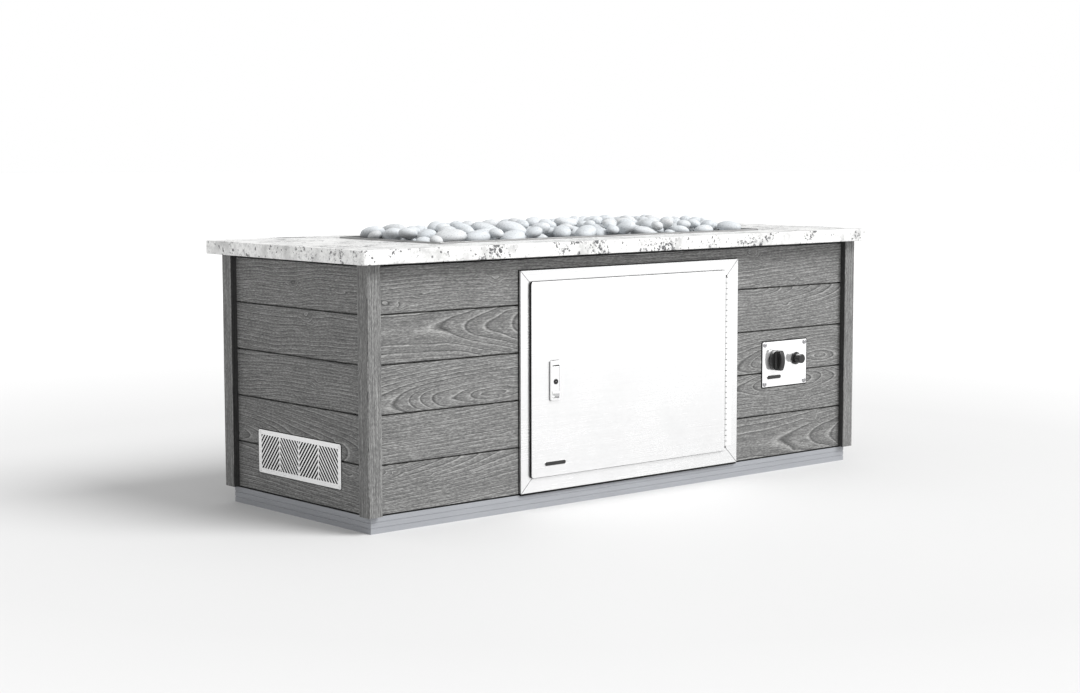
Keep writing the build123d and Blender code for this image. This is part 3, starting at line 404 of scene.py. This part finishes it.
def darkJoints(tree, place, colour):
    low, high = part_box("hinge_leaf_frame")
    pinLow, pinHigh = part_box("hinge_pin")
    pitch = (high.z - low.z) / slotShadeAndJoints["knuckles"]
    x, y, z = splitUp(tree, place)
    step = calc(tree, "DIVIDE", calc(tree, "SUBTRACT", z, low.z - pitch / 2), pitch)
    miss = calc(tree, "ABSOLUTE", calc(tree, "SUBTRACT", calc(tree, "FRACT", step), 0.5))
    joint = calc(tree, "LESS_THAN", miss, slotShadeAndJoints["joint"] / pitch)
    side = calc(tree, "ABSOLUTE", calc(tree, "SUBTRACT", x, (pinLow.x + pinHigh.x) / 2))
    near = calc(tree, "LESS_THAN", side, slotShadeAndJoints["reach"])
    return blendColours(tree, calc(tree, "MULTIPLY", joint, near), colour, slotShadeAndJoints["colour"])


# Metals: fine lines and a few soft smears, both in the gloss; lines are a noise's factors in x, y and z
plainMetal = {
    "metallic": 1.0,
    "smear": 7.0,
    "depth": 0.00002,
    "shade": None,
    "lineDetail": (3, 0.6),
    "smearDetail": (3, 0.55),
    "tones": (0.92, 1.05),
    "glosses": (0.75, 1.3),
    "strength": 0.6,
}
metals = {
    "brushedSteel": {
        "tint": (0.82, 0.82, 0.822),
        "metallic": 0.72,
        "roughness": 0.24,
        "lines": (5, 850, 850),
        "nodes": ["door_frame", "door_skin", "door_liner", "latch_bolt", "burner_tube"],
    },
    "ventSteel": {
        "tint": grey(0.94),
        "metallic": 0.3,
        "roughness": 0.3,
        "lines": (850, 5, 850),
        # the vent's slot walls get painted shade
        "shade": paintedSlotShade,
        "nodes": ["vent_left", "vent_right", "vent_screws"],
    },
    "polishedPlate": {
        "tint": (0.93, 0.93, 0.932),
        "metallic": 0.72,
        "roughness": 0.09,
        "lines": (5, 850, 850),
        "depth": 0.000008,
        "nodes": ["control_plate"],
    },
    "latchSteel": {
        "tint": (0.88, 0.88, 0.882),
        "metallic": 0.85,
        "roughness": 0.2,
        "lines": (850, 850, 6),
        "nodes": ["latch_housing", "latch_paddle", "latch_pivot_pin"],
    },
    "turnedSteel": {
        "tint": grey(0.90),
        "metallic": 0.72,
        "roughness": 0.22,
        "lines": (600, 600, 20),
        "shade": darkJoints,
        "nodes": ["hinge_pin", "hinge_leaf_frame", "hinge_leaf_door"],
    },
    "screwSteel": {
        "tint": (0.42, 0.42, 0.43),
        "roughness": 0.3,
        "lines": (700, 20, 700),
        "nodes": ["plate_screws"],
    },
    "plinthAluminium": {
        "tint": (0.325, 0.335, 0.357),
        "metallic": 0.2,
        "roughness": 0.42,
        "lines": (3, 3, 330),
        "depth": 0.00006,
        "nodes": ["plinth_front", "plinth_back", "plinth_left", "plinth_right"],
    },
    "galvanisedTube": {
        "tint": (0.52, 0.53, 0.55),
        "roughness": 0.42,
        "lines": (60, 60, 60),
        "smear": 40.0,
        "depth": 0.00005,
        "nodes": ["frame_rails", "frame_uprights"],
    },
    "drawnAluminium": {
        "tint": (0.76, 0.77, 0.78),
        "roughness": 0.3,
        "lines": (200, 200, 200),
        "nodes": ["gas_pipe"],
    },
    "turnedBrass": {
        "tint": (0.78, 0.60, 0.27),
        "roughness": 0.25,
        "lines": (500, 40, 500),
        "depth": 0.00003,
        "nodes": ["gas_valve", "valve_stem"],
    },
}


def metalFinish(name, look):
    material, tree, shader = newFinish(name, Metallic=look["metallic"])
    place = ownCoords(tree)
    drawn = streaks(tree, place, look["lines"], *look["lineDetail"])
    hazy = cloud(tree, place, look["smear"], *look["smearDetail"])
    gloss = calc(tree, "MULTIPLY_ADD", drawn, 0.5, calc(tree, "MULTIPLY", hazy, 0.5))
    colour = twoTone(tree, gloss, *(scaled(look["tint"], tone) for tone in look["tones"]))
    if look["shade"]:
        colour = look["shade"](tree, place, colour)
    paint(tree, shader, colour, evenOut(tree, gloss, *(look["roughness"] * g for g in look["glosses"])))
    emboss(tree, shader, drawn, look["depth"], look["strength"])
    return material


# Moulded or drawn dull materials: fine pimples and a soft change of tone
plainMoulded = {
    "paler": 1.5,
    "shine": 0.5,
    "nodes": [],
    "pimpleDetail": (2, 0.6),
    "haze": (22, 3),
    "hazeStops": (0.32, 0.7),
    "glosses": (0.85, 1.2),
    "strength": 0.5,
}
mouldings = {
    "knobBlack": {
        "tint": grey(0.010),
        "paler": 1.6,
        "roughness": 0.32,
        "pimple": 900,
        "depth": 0.00003,
        "nodes": ["control_knob", "igniter_bezel", "igniter_button"],
    },
    "darkPlastic": {
        "tint": grey(0.022),
        "roughness": 0.5,
        "pimple": 700,
        "depth": 0.00005,
        "nodes": ["igniter_housing", "lead_clips"],
    },
    "leadRubber": {
        "tint": grey(0.016),
        "roughness": 0.62,
        "pimple": 500,
        "depth": 0.00006,
        "nodes": ["ignition_lead"],
    },
    "glazedCeramic": {
        "tint": (0.80, 0.79, 0.74),
        "paler": 1.1,
        "roughness": 0.14,
        "pimple": 300,
        "depth": 0.00002,
        "nodes": ["spark_electrode"],
    },
    # black rubber of the seals and strips, which also stands in for shadow lines as painted shade
    "sealAndShadeRubber": {"tint": grey(0.008), "shine": 0.12, "roughness": 0.6, "pimple": 600, "depth": 0.00005},
    "plateEnamel": {"tint": grey(0.012), "roughness": 0.22, "pimple": 900, "depth": 0.00002},
}


def mouldedFinish(name, look):
    material, tree, shader = newFinish(name, Specular_IOR_Level=look["shine"])
    place = ownCoords(tree)
    grain = cloud(tree, place, look["pimple"], *look["pimpleDetail"])
    hazy = cloud(tree, place, *look["haze"])
    paler = scaled(look["tint"], look["paler"])
    colour = ramp(tree, hazy, *zip(look["hazeStops"], (look["tint"], paler)))
    paint(tree, shader, colour, evenOut(tree, grain, *(look["roughness"] * g for g in look["glosses"])))
    emboss(tree, shader, grain, look["depth"], look["strength"])
    return material


# Tray steel: paler at the rim, dulled and browned by heat below the slab's top
tray = {
    "rim": (grey(0.27), grey(0.38)),
    "browns": ((0.35, (0.10, 0.095, 0.10)), (0.5, (0.19, 0.16, 0.13)), (0.66, (0.13, 0.13, 0.17))),
    "lines": (6, 500, 500),
    "burn": (9, 4, 0.6),
    "burnFrom": -0.002,
    "burnFull": -0.014,
    "roughness": (0.26, 0.42),
    "emboss": (0.00003, 0.5),
}


def trayFinish(look):
    material, tree, shader = newFinish("heatDulledSteel", Metallic=1.0)
    place = ownCoords(tree)
    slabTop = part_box("countertop")[1].z
    drawn = streaks(tree, place, look["lines"], 3)
    bright = twoTone(tree, drawn, *look["rim"])
    brown = ramp(tree, cloud(tree, place, *look["burn"]), *look["browns"])
    level = splitUp(tree, place)[2]
    unburnt = spread(tree, level, slabTop + look["burnFull"], slabTop + look["burnFrom"])
    paint(tree, shader, blendColours(tree, unburnt, brown, bright), evenOut(tree, drawn, *look["roughness"]))
    emboss(tree, shader, drawn, *look["emboss"])
    return material


# Lock face: bright key pin at the axis, black round it, with turned rings in the gloss
lock = {
    "pin": grey(0.75),
    "pinEdge": (0.0012, 0.0016),
    "black": (grey(0.010), grey(0.030)),
    "ringScale": 4000.0,
    "metallic": 0.6,
    "roughness": (0.22, 0.38),
}


def lockFinish(look):
    material, tree, shader = newFinish("lockFace", Metallic=look["metallic"])
    low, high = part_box("lock_cylinder")
    x, y, z = splitUp(tree, ownCoords(tree))
    right = calc(tree, "SUBTRACT", x, (low.x + high.x) / 2)
    up = calc(tree, "SUBTRACT", z, (low.z + high.z) / 2)
    away = hypot(tree, right, up)
    turned = bands(tree, away, look["ringScale"])
    black = twoTone(tree, turned, *look["black"])
    pin = spread(tree, away, *look["pinEdge"], 1.0, 0.0)
    colour = blendColours(tree, pin, black, look["pin"])
    paint(tree, shader, colour, evenOut(tree, turned, *look["roughness"]))
    return material


finishes = {}
for name, look in metals.items():
    finishes[name] = metalFinish(name, {**plainMetal, **look})
    dress(finishes[name], look["nodes"])
for name, look in mouldings.items():
    look = {**plainMoulded, **look}
    finishes[name] = mouldedFinish(name, look)
    dress(finishes[name], look["nodes"])
dress(trayFinish(tray), ["burner_tray"])
dress(lockFinish(lock), ["lock_cylinder"])
print("metal and plastic dressed")

# River stone: each stone has its own tone and warmth, with pale bloom and fine dark and pale pepper
pebble = {
    "cool": (0.53, 0.560, 0.585),
    "pale": (0.67, 0.695, 0.715),
    "warm": (0.55, 0.53, 0.51),
    "warmShare": 0.3,
    "ownShare": 0.65,
    "bloomShare": 0.35,
    "bloom": (26, 4, 0.6),
    "pepper": (210, 3, 0.75),
    "darkPepper": grey(0.14),
    "darkRange": (0.55, 0.72, 0.0, 0.6),
    "palePepper": grey(0.80),
    "paleRange": (0.44, 0.28, 0.0, 0.5),
    "shine": 0.3,
    "roughness": (0.5, 0.68),
    "pepperHeight": 0.4,
    "emboss": (0.0006, 0.5),
    "cuts": 4,
    "lump": 0.055,
    "waviness": 1.25,
    "warmthSpread": 0.5,
    "seed": 17,
}


def stoneFinish(look):
    material, tree, shader = newFinish("riverStone", Specular_IOR_Level=look["shine"])
    place = ownCoords(tree)
    own = addNode(tree, "Attribute", {}, attribute_name="stoneTone").outputs["Fac"]
    warmth = addNode(tree, "Attribute", {}, attribute_name="stoneWarmth").outputs["Fac"]
    bloom = cloud(tree, place, *look["bloom"])
    pepper = cloud(tree, place, *look["pepper"])
    ownTone = calc(tree, "MULTIPLY", own, look["ownShare"])
    tone = calc(tree, "MULTIPLY_ADD", evenOut(tree, bloom), look["bloomShare"], ownTone)
    colour = ramp(tree, tone, (0.0, look["cool"]), (1.0, look["pale"]))
    colour = blendColours(tree, calc(tree, "MULTIPLY", warmth, look["warmShare"]), colour, look["warm"])
    colour = blendColours(tree, spread(tree, pepper, *look["darkRange"]), colour, look["darkPepper"])
    colour = blendColours(tree, spread(tree, pepper, *look["paleRange"]), colour, look["palePepper"])
    paint(tree, shader, colour, evenOut(tree, bloom, *look["roughness"]))
    height = calc(tree, "MULTIPLY_ADD", pepper, look["pepperHeight"], bloom)
    emboss(tree, shader, height, *look["emboss"])
    return material


# Loose shells of a triangle mesh: equal points are one, and each shell takes its lowest point's number
def looseShells(mesh):
    points = np.empty(len(mesh.vertices) * 3, np.float32)
    mesh.vertices.foreach_get("co", points)
    points = points.reshape(-1, 3)
    corners = np.empty(len(mesh.loops), np.int32)
    mesh.loops.foreach_get("vertex_index", corners)
    places, same = np.unique(np.round(points, 5), axis=0, return_inverse=True)
    triangles = same.ravel()[corners].reshape(-1, 3)
    label = np.arange(len(places))
    while True:
        before = label.copy()
        least = label[triangles].min(axis=1)
        for side in range(3):
            np.minimum.at(label, triangles[:, side], least)
        label = label[label]
        if np.array_equal(label, before):
            return places.astype(float), label


# Six faces of a cube, each a grid in two parameters, blown out to the unit sphere
def cubeBall(cuts):
    line = np.tan(np.linspace(-math.pi / 4, math.pi / 4, cuts + 1))
    s, t = np.meshgrid(line, line, indexing="ij")
    one = np.ones_like(s)
    sides = [(one, s, t), (-one, t, s), (t, one, s), (s, -one, t), (s, t, one), (t, s, -one)]
    points = np.concatenate([np.stack(side, axis=-1).reshape(-1, 3) for side in sides])
    points /= np.linalg.norm(points, axis=1, keepdims=True)
    quads = np.concatenate([gridFaces(cuts + 1, cuts + 1) + k * (cuts + 1) ** 2 for k in range(6)])
    kept, same = np.unique(np.round(points, 6), axis=0, return_inverse=True)
    return kept, same.ravel()[quads]


# Stones: the ball stretched to each shell's own axes and pressed in by slow waves, so that no two are alike
def makePebbles(look):
    places, label = looseShells(nodes["pebbles"].data)
    ball, quads = cubeBall(look["cuts"])
    rng = np.random.default_rng(look["seed"])
    shells = np.unique(label)
    points, tones, warmths = [], [], []
    for shell in shells:
        own = places[label == shell]
        middle = (own.min(axis=0) + own.max(axis=0)) / 2
        axes = np.linalg.eigh(np.cov((own - middle).T))[1]
        axes[:, 2] = np.cross(axes[:, 0], axes[:, 1])
        reach = np.abs((own - middle) @ axes).max(axis=0)
        waves = rng.normal(0, look["waviness"], (3, 3))
        phases = rng.uniform(0, 2 * math.pi, 3)
        dent = np.sin(ball @ waves + phases).mean(axis=1)
        size = 1 - look["lump"] * (0.5 + 0.5 * dent)
        points.append(middle + (ball * size[:, None] * reach) @ axes.T)
        tones.append(np.full(len(ball), rng.uniform(0, 1)))
        warmths.append(np.full(len(ball), max(0.0, rng.normal(0, look["warmthSpread"]))))
    allQuads = (quads[None] + np.arange(len(shells))[:, None, None] * len(ball)).reshape(-1, 4)
    piece = addPiece("river_pebbles", np.concatenate(points), allQuads.tolist(), stoneFinish(look))
    piece.data.shade_smooth()
    for name, values in (("stoneTone", tones), ("stoneWarmth", warmths)):
        attribute = piece.data.attributes.new(name, "FLOAT", "POINT")
        attribute.data.foreach_set("value", np.concatenate(values).astype(np.float32))
    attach(piece, "cabinet")
    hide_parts("pebbles")
    print("pebbles:", len(shells), "stones,", len(allQuads), "faces")


makePebbles(pebble)

# Walls as frames: a point on the wall, direction to the right, direction out; the plan lies flat on the floor
walls = {
    "front": ((0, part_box("front_board_5_top")[0].y, 0), (1, 0, 0), (0, -1, 0)),
    "back": ((0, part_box("back_boards")[1].y, 0), (-1, 0, 0), (0, 1, 0)),
    "left": ((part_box("left_board_1")[0].x, 0, 0), (0, -1, 0), (-1, 0, 0)),
    "right": ((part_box("right_board_1")[1].x, 0, 0), (0, 1, 0), (1, 0, 0)),
    "plan": ((0, 0, 0), (1, 0, 0), (0, 0, 1)),
}


# Points on a wall: right and up along it, and lifted out from it
def onWall(wall, flat, lift):
    origin, right, out = (np.array(v, float) for v in walls[wall])
    up = np.cross(out, right)
    return origin + flat[..., :1] * right + flat[..., 1:] * up + np.asarray(lift)[..., None] * out


# Middle and size of a node's box as seen on an upright wall
def seenOn(wall, node):
    low, high = (np.array(corner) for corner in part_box(node))
    right = np.array(walls[wall][1], float)
    middle, size = (low + high) / 2, high - low
    return np.array((middle @ right, middle[2])), np.array((size @ np.abs(right), size[2]))


# How far a node stands out from the front boards
def standsOut(node):
    return walls["front"][0][1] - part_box(node)[0].y


# Outline of a rectangle with round corners: points and outward directions, four arcs of equal steps
def roundedLoop(width, height, corner, steps=6):
    turn = np.linspace(0, math.pi / 2, steps)[None, :] + np.arange(4)[:, None] * math.pi / 2
    outward = np.stack([np.cos(turn), np.sin(turn)], axis=-1)
    middle = np.array([(1, 1), (-1, 1), (-1, -1), (1, -1)]) * (width / 2 - corner, height / 2 - corner)
    return (middle[:, None] + corner * outward).reshape(-1, 2), outward.reshape(-1, 2)


# Bead: a section of (outward, lift) pairs carried round an outline on a wall; an open run gets flat ends
def makeBead(name, wall, loop, outward, section, closed=True, body="cabinet"):
    section = np.array(section)
    flat = loop[:, None] + outward[:, None] * section[None, :, :1]
    lift = np.broadcast_to(section[None, :, 1], flat.shape[:2])
    rows, cols = lift.shape
    faces = gridFaces(rows, cols, closeRows=closed, closeCols=True).tolist()
    if not closed:
        faces += endFaces(rows, cols)
    piece = addPiece(name, onWall(wall, flat, lift), faces, finishes["sealAndShadeRubber"])
    piece.data.shade_smooth()
    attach(piece, body)


# Bead round a node's own outline, drawn in by inset
def makeRing(name, wall, node, corner, section, inset=0.0, body="cabinet"):
    middle, size = seenOn(wall, node)
    loop, outward = roundedLoop(*(size - 2 * inset), corner)
    makeBead(name, wall, loop + middle, outward, section, body=body)


# Box section from (outward, lift) limits, clockwise
def boxSection(inner, outer, low, high):
    return [(inner, high), (outer, high), (outer, low), (inner, low)]


# Seal of the door frame: a black rounded lip up both sides and over the top, partly a seal and partly painted
# shade, the dark shadow line along the frame's edges
frameSeal = {
    "lip": [
        (-0.0002, 0.0019),
        (0.0004, 0.0019),
        (0.0015, 0.0017),
        (0.0024, 0.0010),
        (0.0026, 0.0),
        (-0.0002, 0.0),
    ],
}
frameMiddle, frameSize = seenOn("front", "door_frame")
frameLow, frameHigh = frameMiddle - frameSize / 2, frameMiddle + frameSize / 2


def makeFrameSeal(look):
    run = np.array([frameLow, (frameLow[0], frameHigh[1]), frameHigh, (frameHigh[0], frameLow[1])])
    away = np.array([(-1, 0), (-1, 1), (1, 1), (1, 0)], float)
    # black lip: partly a seal, partly painted shade along the frame's edges
    makeBead("door_frame_seal", "front", run, away, look["lip"], closed=False)


# Seals round the control plate and the vents, black lips that are partly seals and partly painted shade,
# their dark outlines, and a black liner in each vent's opening, painted shade behind the slots
plateSeal = {
    "corner": 0.003,
    "lip": [
        (-0.0002, 0.0),
        (0.0034, 0.0),
        (0.0032, 0.0010),
        (0.0022, 0.0018),
        (0.0006, 0.0019),
        (-0.0002, 0.0019),
    ],
}
ventSeal = {
    "corner": 0.005,
    "lip": [(-0.0002, 0.0), (0.0022, 0.0), (0.0020, 0.0006), (0.0012, 0.0010), (-0.0002, 0.0011)],
    "cutInset": 0.011,
    "cutCorner": 0.0015,
    # painted shade: a black sheet lining the opening behind the vent's slots
    "liner": [(-0.0011, -0.016), (-0.0001, -0.016), (-0.0001, -0.0002), (-0.0011, -0.0002)],
}


def makePlateAndVentSeals(plate, vent):
    makeRing("plate_seal", "front", "control_plate", plate["corner"], plate["lip"])
    for wall in ("left", "right"):
        node = "vent_" + wall
        makeRing(node + "_seal", wall, node, vent["corner"], vent["lip"])
        # the liner is painted shade, black where the opening behind the slots lies in shade
        makeRing(node + "_liner", wall, node, vent["cutCorner"], vent["liner"], vent["cutInset"])


# Strip between plinth and boards: a black half-round nose carried round the plinth, painted shade that draws
# the shadow line in the gap
plinthStrip = {"inset": 0.0025, "corner": 0.002, "cornerSteps": 4, "noseSteps": 7, "deep": 0.011}


def makePlinthStrip(look):
    size = np.array((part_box("plinth_front")[1].x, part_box("plinth_left")[1].y)) - look["inset"]
    loop, outward = roundedLoop(*(2 * size), look["corner"], look["cornerSteps"])
    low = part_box("plinth_front")[1].z
    half = (rowBase - low) / 2
    turn = np.linspace(-math.pi / 2, math.pi / 2, look["noseSteps"])
    nose = np.stack([half * np.cos(turn), low + half + half * np.sin(turn)], axis=-1)
    section = np.concatenate([nose, [(-look["deep"], rowBase), (-look["deep"], low)]])
    # painted shade: the black strip stands for the shadow line between plinth and boards
    makeBead("plinth_strip", "plan", loop, outward, section)


# Level strips of black rubber: one under the door frame, painted shade for the shadow line below it, and a
# bed for the slab on each wall, between the corner trims, partly a bed and partly painted shade, the dark
# band under the slab
sillStrip = {"inset": 0.001, "height": 0.0053, "back": 0.0005, "front": 0.0066}
slabBed = {"inset": 0.0005, "height": 0.0079, "back": 0.00005, "front": 0.0025}
stripGap = 0.0001


def makeLevelStrip(name, wall, half, top, look):
    high = top - stripGap
    run = np.array([(-half, high - look["height"]), (half, high - look["height"])])
    away = np.array([(0, 1), (0, 1)], float)
    section = boxSection(0, look["height"], look["back"], look["front"])
    makeBead(name, wall, run, away, section, closed=False)


def makeLevelStrips(sill, bed):
    # painted shade: the black strip stands for the shadow line under the door frame
    makeLevelStrip("frame_sill_strip", "front", frameHigh[0] - sill["inset"], frameLow[1], sill)
    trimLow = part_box("corner_trim_back_right")[0]
    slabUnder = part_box("countertop")[0].z
    for wall in ("front", "back", "left", "right"):
        reach = trimLow.x if wall in ("front", "back") else trimLow.y
        # partly a bed, partly painted shade: the dark band under the slab's overhang
        makeLevelStrip("slab_bed_" + wall, wall, reach - bed["inset"], slabUnder, bed)


# Dark lines in the frame's mitres, painted shade of the seams: a thin black bar from each outer corner to the
# inner one
mitreShadeLine = {"width": 0.0011, "sunk": 0.0001, "proud": 0.00014, "start": 0.0006, "end": 0.044}


def makeMitreShadeLines(look):
    face = standsOut("door_frame")
    half = look["width"] / 2
    section = boxSection(-half, half, face - look["sunk"], face + look["proud"])[::-1]
    for name, x, z, inX, inZ in (
        ("top_left", frameLow[0], frameHigh[1], 1, -1),
        ("top_right", frameHigh[0], frameHigh[1], -1, -1),
        ("low_left", frameLow[0], frameLow[1], 1, 1),
        ("low_right", frameHigh[0], frameLow[1], -1, 1),
    ):
        inward = np.array((inX, inZ), float)
        corner = np.array((x, z))
        run = np.array([corner + look["start"] * inward, corner + look["end"] * inward])
        away = np.tile(np.array((inZ, -inX)) / math.sqrt(2), (2, 1))
        # painted shade: a black bar for the shadow in the mitre seam
        makeBead("frame_mitre_shade_" + name, "front", run, away, section, closed=False)


# Edging behind the door's rim, from hinge to hinge round the free side; its section is lifted from the frame.
# Its black lip is partly a gasket and partly painted shade, the dark shadow line round the door
doorEdging = {
    "corner": 0.008,
    "steps": 8,
    "hingeGap": 0.004,
    "section": [
        (-0.004, 0.0001),
        (0.0009, 0.0001),
        (0.0009, 0.0058),
        (0.0006, 0.0063),
        (0, 0.0063),
        (0, 0.0019),
        (-0.004, 0.0019),
    ],
}


def makeDoorEdging(look):
    middle, size = seenOn("front", "door_skin")
    loop, outward = roundedLoop(*size, look["corner"], look["steps"])
    freeSide = slice(look["steps"], 3 * look["steps"])
    loop, outward = loop[freeSide] + middle, outward[freeSide]
    hingeEnd = middle[0] + size[0] / 2 - look["hingeGap"]
    ends = np.array([(hingeEnd, loop[0, 1]), (hingeEnd, loop[-1, 1])])
    loop = np.concatenate([ends[:1], loop, ends[1:]])
    outward = np.concatenate([outward[:1], outward, outward[-1:]])
    section = np.array(look["section"]) + (0, standsOut("door_frame"))
    # black lip: partly a gasket, partly painted shade round the door
    makeBead("door_edging", "front", loop, outward, section, closed=False, body="door")


# Gasket of the latch: a low black lip on the door's face, partly a gasket and partly painted shade, the dark
# outline of the latch
latchGasket = {"corner": 0.004, "lip": [(0.0, 0.0), (0.0010, 0.0), (0.0009, 0.0006), (0.0, 0.0009)]}


def makeLatchGasket(look):
    lip = np.array(look["lip"]) + (0, standsOut("door_skin"))
    # black lip: partly a gasket, partly painted shade round the latch
    makeRing("latch_gasket", "front", "latch_housing", look["corner"], lip, body="door")


makeFrameSeal(frameSeal)
makePlateAndVentSeals(plateSeal, ventSeal)
makePlinthStrip(plinthStrip)
makeLevelStrips(sillStrip, slabBed)
makeMitreShadeLines(mitreShadeLine)
makeDoorEdging(doorEdging)
makeLatchGasket(latchGasket)
print("seals and strips made")

# Blank plates: a long rounded plate with a bright rim round a slightly crowned dark face.
# Stations are (inward, lift) pairs from foot to crown; at is measured from the carrier's low left corner
blank = {
    "door": {
        "carrier": "door_skin",
        "body": "door",
        "at": (0.081, 0.0335),
        "size": (0.075, 0.012),
    },
    "control": {
        "carrier": "control_plate",
        "body": "cabinet",
        "at": (0.0487, 0.0275),
        "size": (0.061, 0.012),
    },
    "stations": [
        (0, 0),
        (0, 0.0008),
        (0.0003, 0.0011),
        (0.0008, 0.0011),
        (0.0010, 0.0009),
        (0.003, 0.0011),
        (0.0052, 0.0012),
    ],
    "rimRows": 4,
    "endSteps": 10,
    "endFlat": 0.0001,
}


def makeBlank(name, own, look):
    width, height = own["size"]
    loop, outward = roundedLoop(width, height, height / 2 - look["endFlat"], look["endSteps"])
    carrierMiddle, carrierSize = seenOn("front", own["carrier"])
    middle = carrierMiddle - carrierSize / 2 + own["at"]
    stations = np.array(look["stations"])
    flat = loop[None] - outward[None] * stations[:, None, :1] + middle
    lift = np.broadcast_to(standsOut(own["carrier"]) + stations[:, 1:], flat.shape[:2])
    rows, cols = lift.shape
    faces = gridFaces(rows, cols, closeCols=True).tolist() + endFaces(rows, cols)
    steel, enamel = finishes["latchSteel"], finishes["plateEnamel"]
    piece = addPiece(name, onWall("front", flat, lift), faces, steel, enamel)
    dark = np.arange(len(faces)) >= look["rimRows"] * cols
    dark[-2] = False  # the foot
    piece.data.polygons.foreach_set("material_index", dark.astype(np.int32))
    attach(piece, own["body"])


for place in ("door", "control"):
    makeBlank(place + "_blank_plate", blank[place], blank)
print("blank plates made")

# Floor: a wide disc, rings of points whose radius grows as a square, paler far off
floorLook = {
    "radius": 60.0,
    "rings": 24,
    "spokes": 64,
    "near": (grey(0.66), grey(0.67)),
    "far": grey(0.93),
    "fade": (1.9, 6.5),
    "hazeScale": 0.6,
}


def floorFinish(look):
    material, tree, shader = newFinish("paleFloor", Roughness=0.7, Specular_IOR_Level=0.1)
    place = ownCoords(tree)
    near = twoTone(tree, cloud(tree, place, look["hazeScale"]), *look["near"])
    away = addNode(tree, "VectorMath", {0: place}, operation="LENGTH").outputs["Value"]
    colour = blendColours(tree, spread(tree, away, *look["fade"]), near, look["far"])
    tree.links.new(colour, shader.inputs["Base Color"])
    return material


def makeFloor(look):
    rings, spokes = look["rings"], look["spokes"]
    reach = look["radius"] * np.linspace(0, 1, rings + 1)[1:, None] ** 2
    turn = np.linspace(0, 2 * math.pi, spokes, endpoint=False)[None, :]
    level = np.zeros((rings, spokes))
    ring = np.stack([reach * np.cos(turn), reach * np.sin(turn), level], axis=-1)
    points = np.concatenate([ring.reshape(-1, 3), [[0, 0, 0]]])
    quads = gridFaces(rings, spokes, closeCols=True)[:, ::-1]
    first = np.arange(spokes)
    hub = np.stack([np.full_like(first, rings * spokes), first, np.roll(first, -1)], axis=-1)
    floor = addPiece("floor", points, quads.tolist() + hub.tolist(), floorFinish(look))


makeFloor(floorLook)

# Studio: white surround, a broad soft sun from the front and a soft box at the front right
studio = {
    "surround": 0.70,
    "backdrop": 1.0,
    "sun": {"strength": 3.05, "angle": 34, "place": (3.9, -7.2, 7.8), "aim": (0.0, 0.0, 0.0)},
    "box": {"power": 30, "size": (4.5, 3.2), "place": (3.6, -4.2, 2.2), "aim": (0.0, 0.0, 0.4)},
}


def addLight(name, light, look):
    item = bpy.data.objects.new(name, light)
    scene.collection.objects.link(item)
    x, y, z = np.array(look["aim"]) - look["place"]
    item.location = look["place"]
    item.rotation_euler = (math.atan2(math.hypot(x, y), -z), 0, math.atan2(-x, y))


def makeStudio(look):
    world = bpy.data.worlds.new("studio")
    world.use_nodes = True
    tree = world.node_tree
    surround = tree.nodes["Background"]
    surround.inputs["Color"].default_value = (1, 1, 1, 1)
    seen = addNode(tree, "LightPath", {}).outputs["Is Camera Ray"]
    brightness = spread(tree, seen, 0, 1, look["surround"], look["backdrop"])
    tree.links.new(brightness, surround.inputs["Strength"])
    scene.world = world
    sun = bpy.data.lights.new("broadSun", "SUN")
    sun.energy = look["sun"]["strength"]
    sun.angle = math.radians(look["sun"]["angle"])
    addLight("broadSun", sun, look["sun"])
    box = bpy.data.lights.new("softBox", "AREA")
    box.shape = "RECTANGLE"
    box.size, box.size_y = look["box"]["size"]
    box.energy = look["box"]["power"]
    addLight("softBox", box, look["box"])


makeStudio(studio)

# Camera: place, heading and lens from the photo's straight edges, angles in degrees
view = {
    "place": (-3.7335, -4.2265, 0.9568),
    "heading": 40.95,
    "down": 5.82,
    "roll": -0.069,
    "lens": 66.47,
    "sensor": 36,
    "reach": 500,
}


def makeCamera(look):
    heading, down, roll = (math.radians(look[key]) for key in ("heading", "down", "roll"))
    level = math.cos(down)
    ahead = np.array((math.sin(heading) * level, math.cos(heading) * level, -math.sin(down)))
    right = np.array((math.cos(heading), -math.sin(heading), 0.0))
    tilted = right * math.cos(roll) + np.cross(right, ahead) * math.sin(roll)
    camera = bpy.data.cameras.new("photoCamera")
    camera.sensor_fit = "HORIZONTAL"
    camera.sensor_width = look["sensor"]
    camera.lens = look["lens"]
    camera.clip_end = look["reach"]
    item = bpy.data.objects.new("photoCamera", camera)
    scene.collection.objects.link(item)
    columns = np.eye(4)
    columns[:3] = np.stack([tilted, np.cross(tilted, ahead), -ahead, look["place"]], axis=-1)
    item.matrix_world = Matrix(columns.tolist())
    scene.camera = item


makeCamera(view)
scene.view_settings.view_transform = "Standard"
print("studio and camera set")
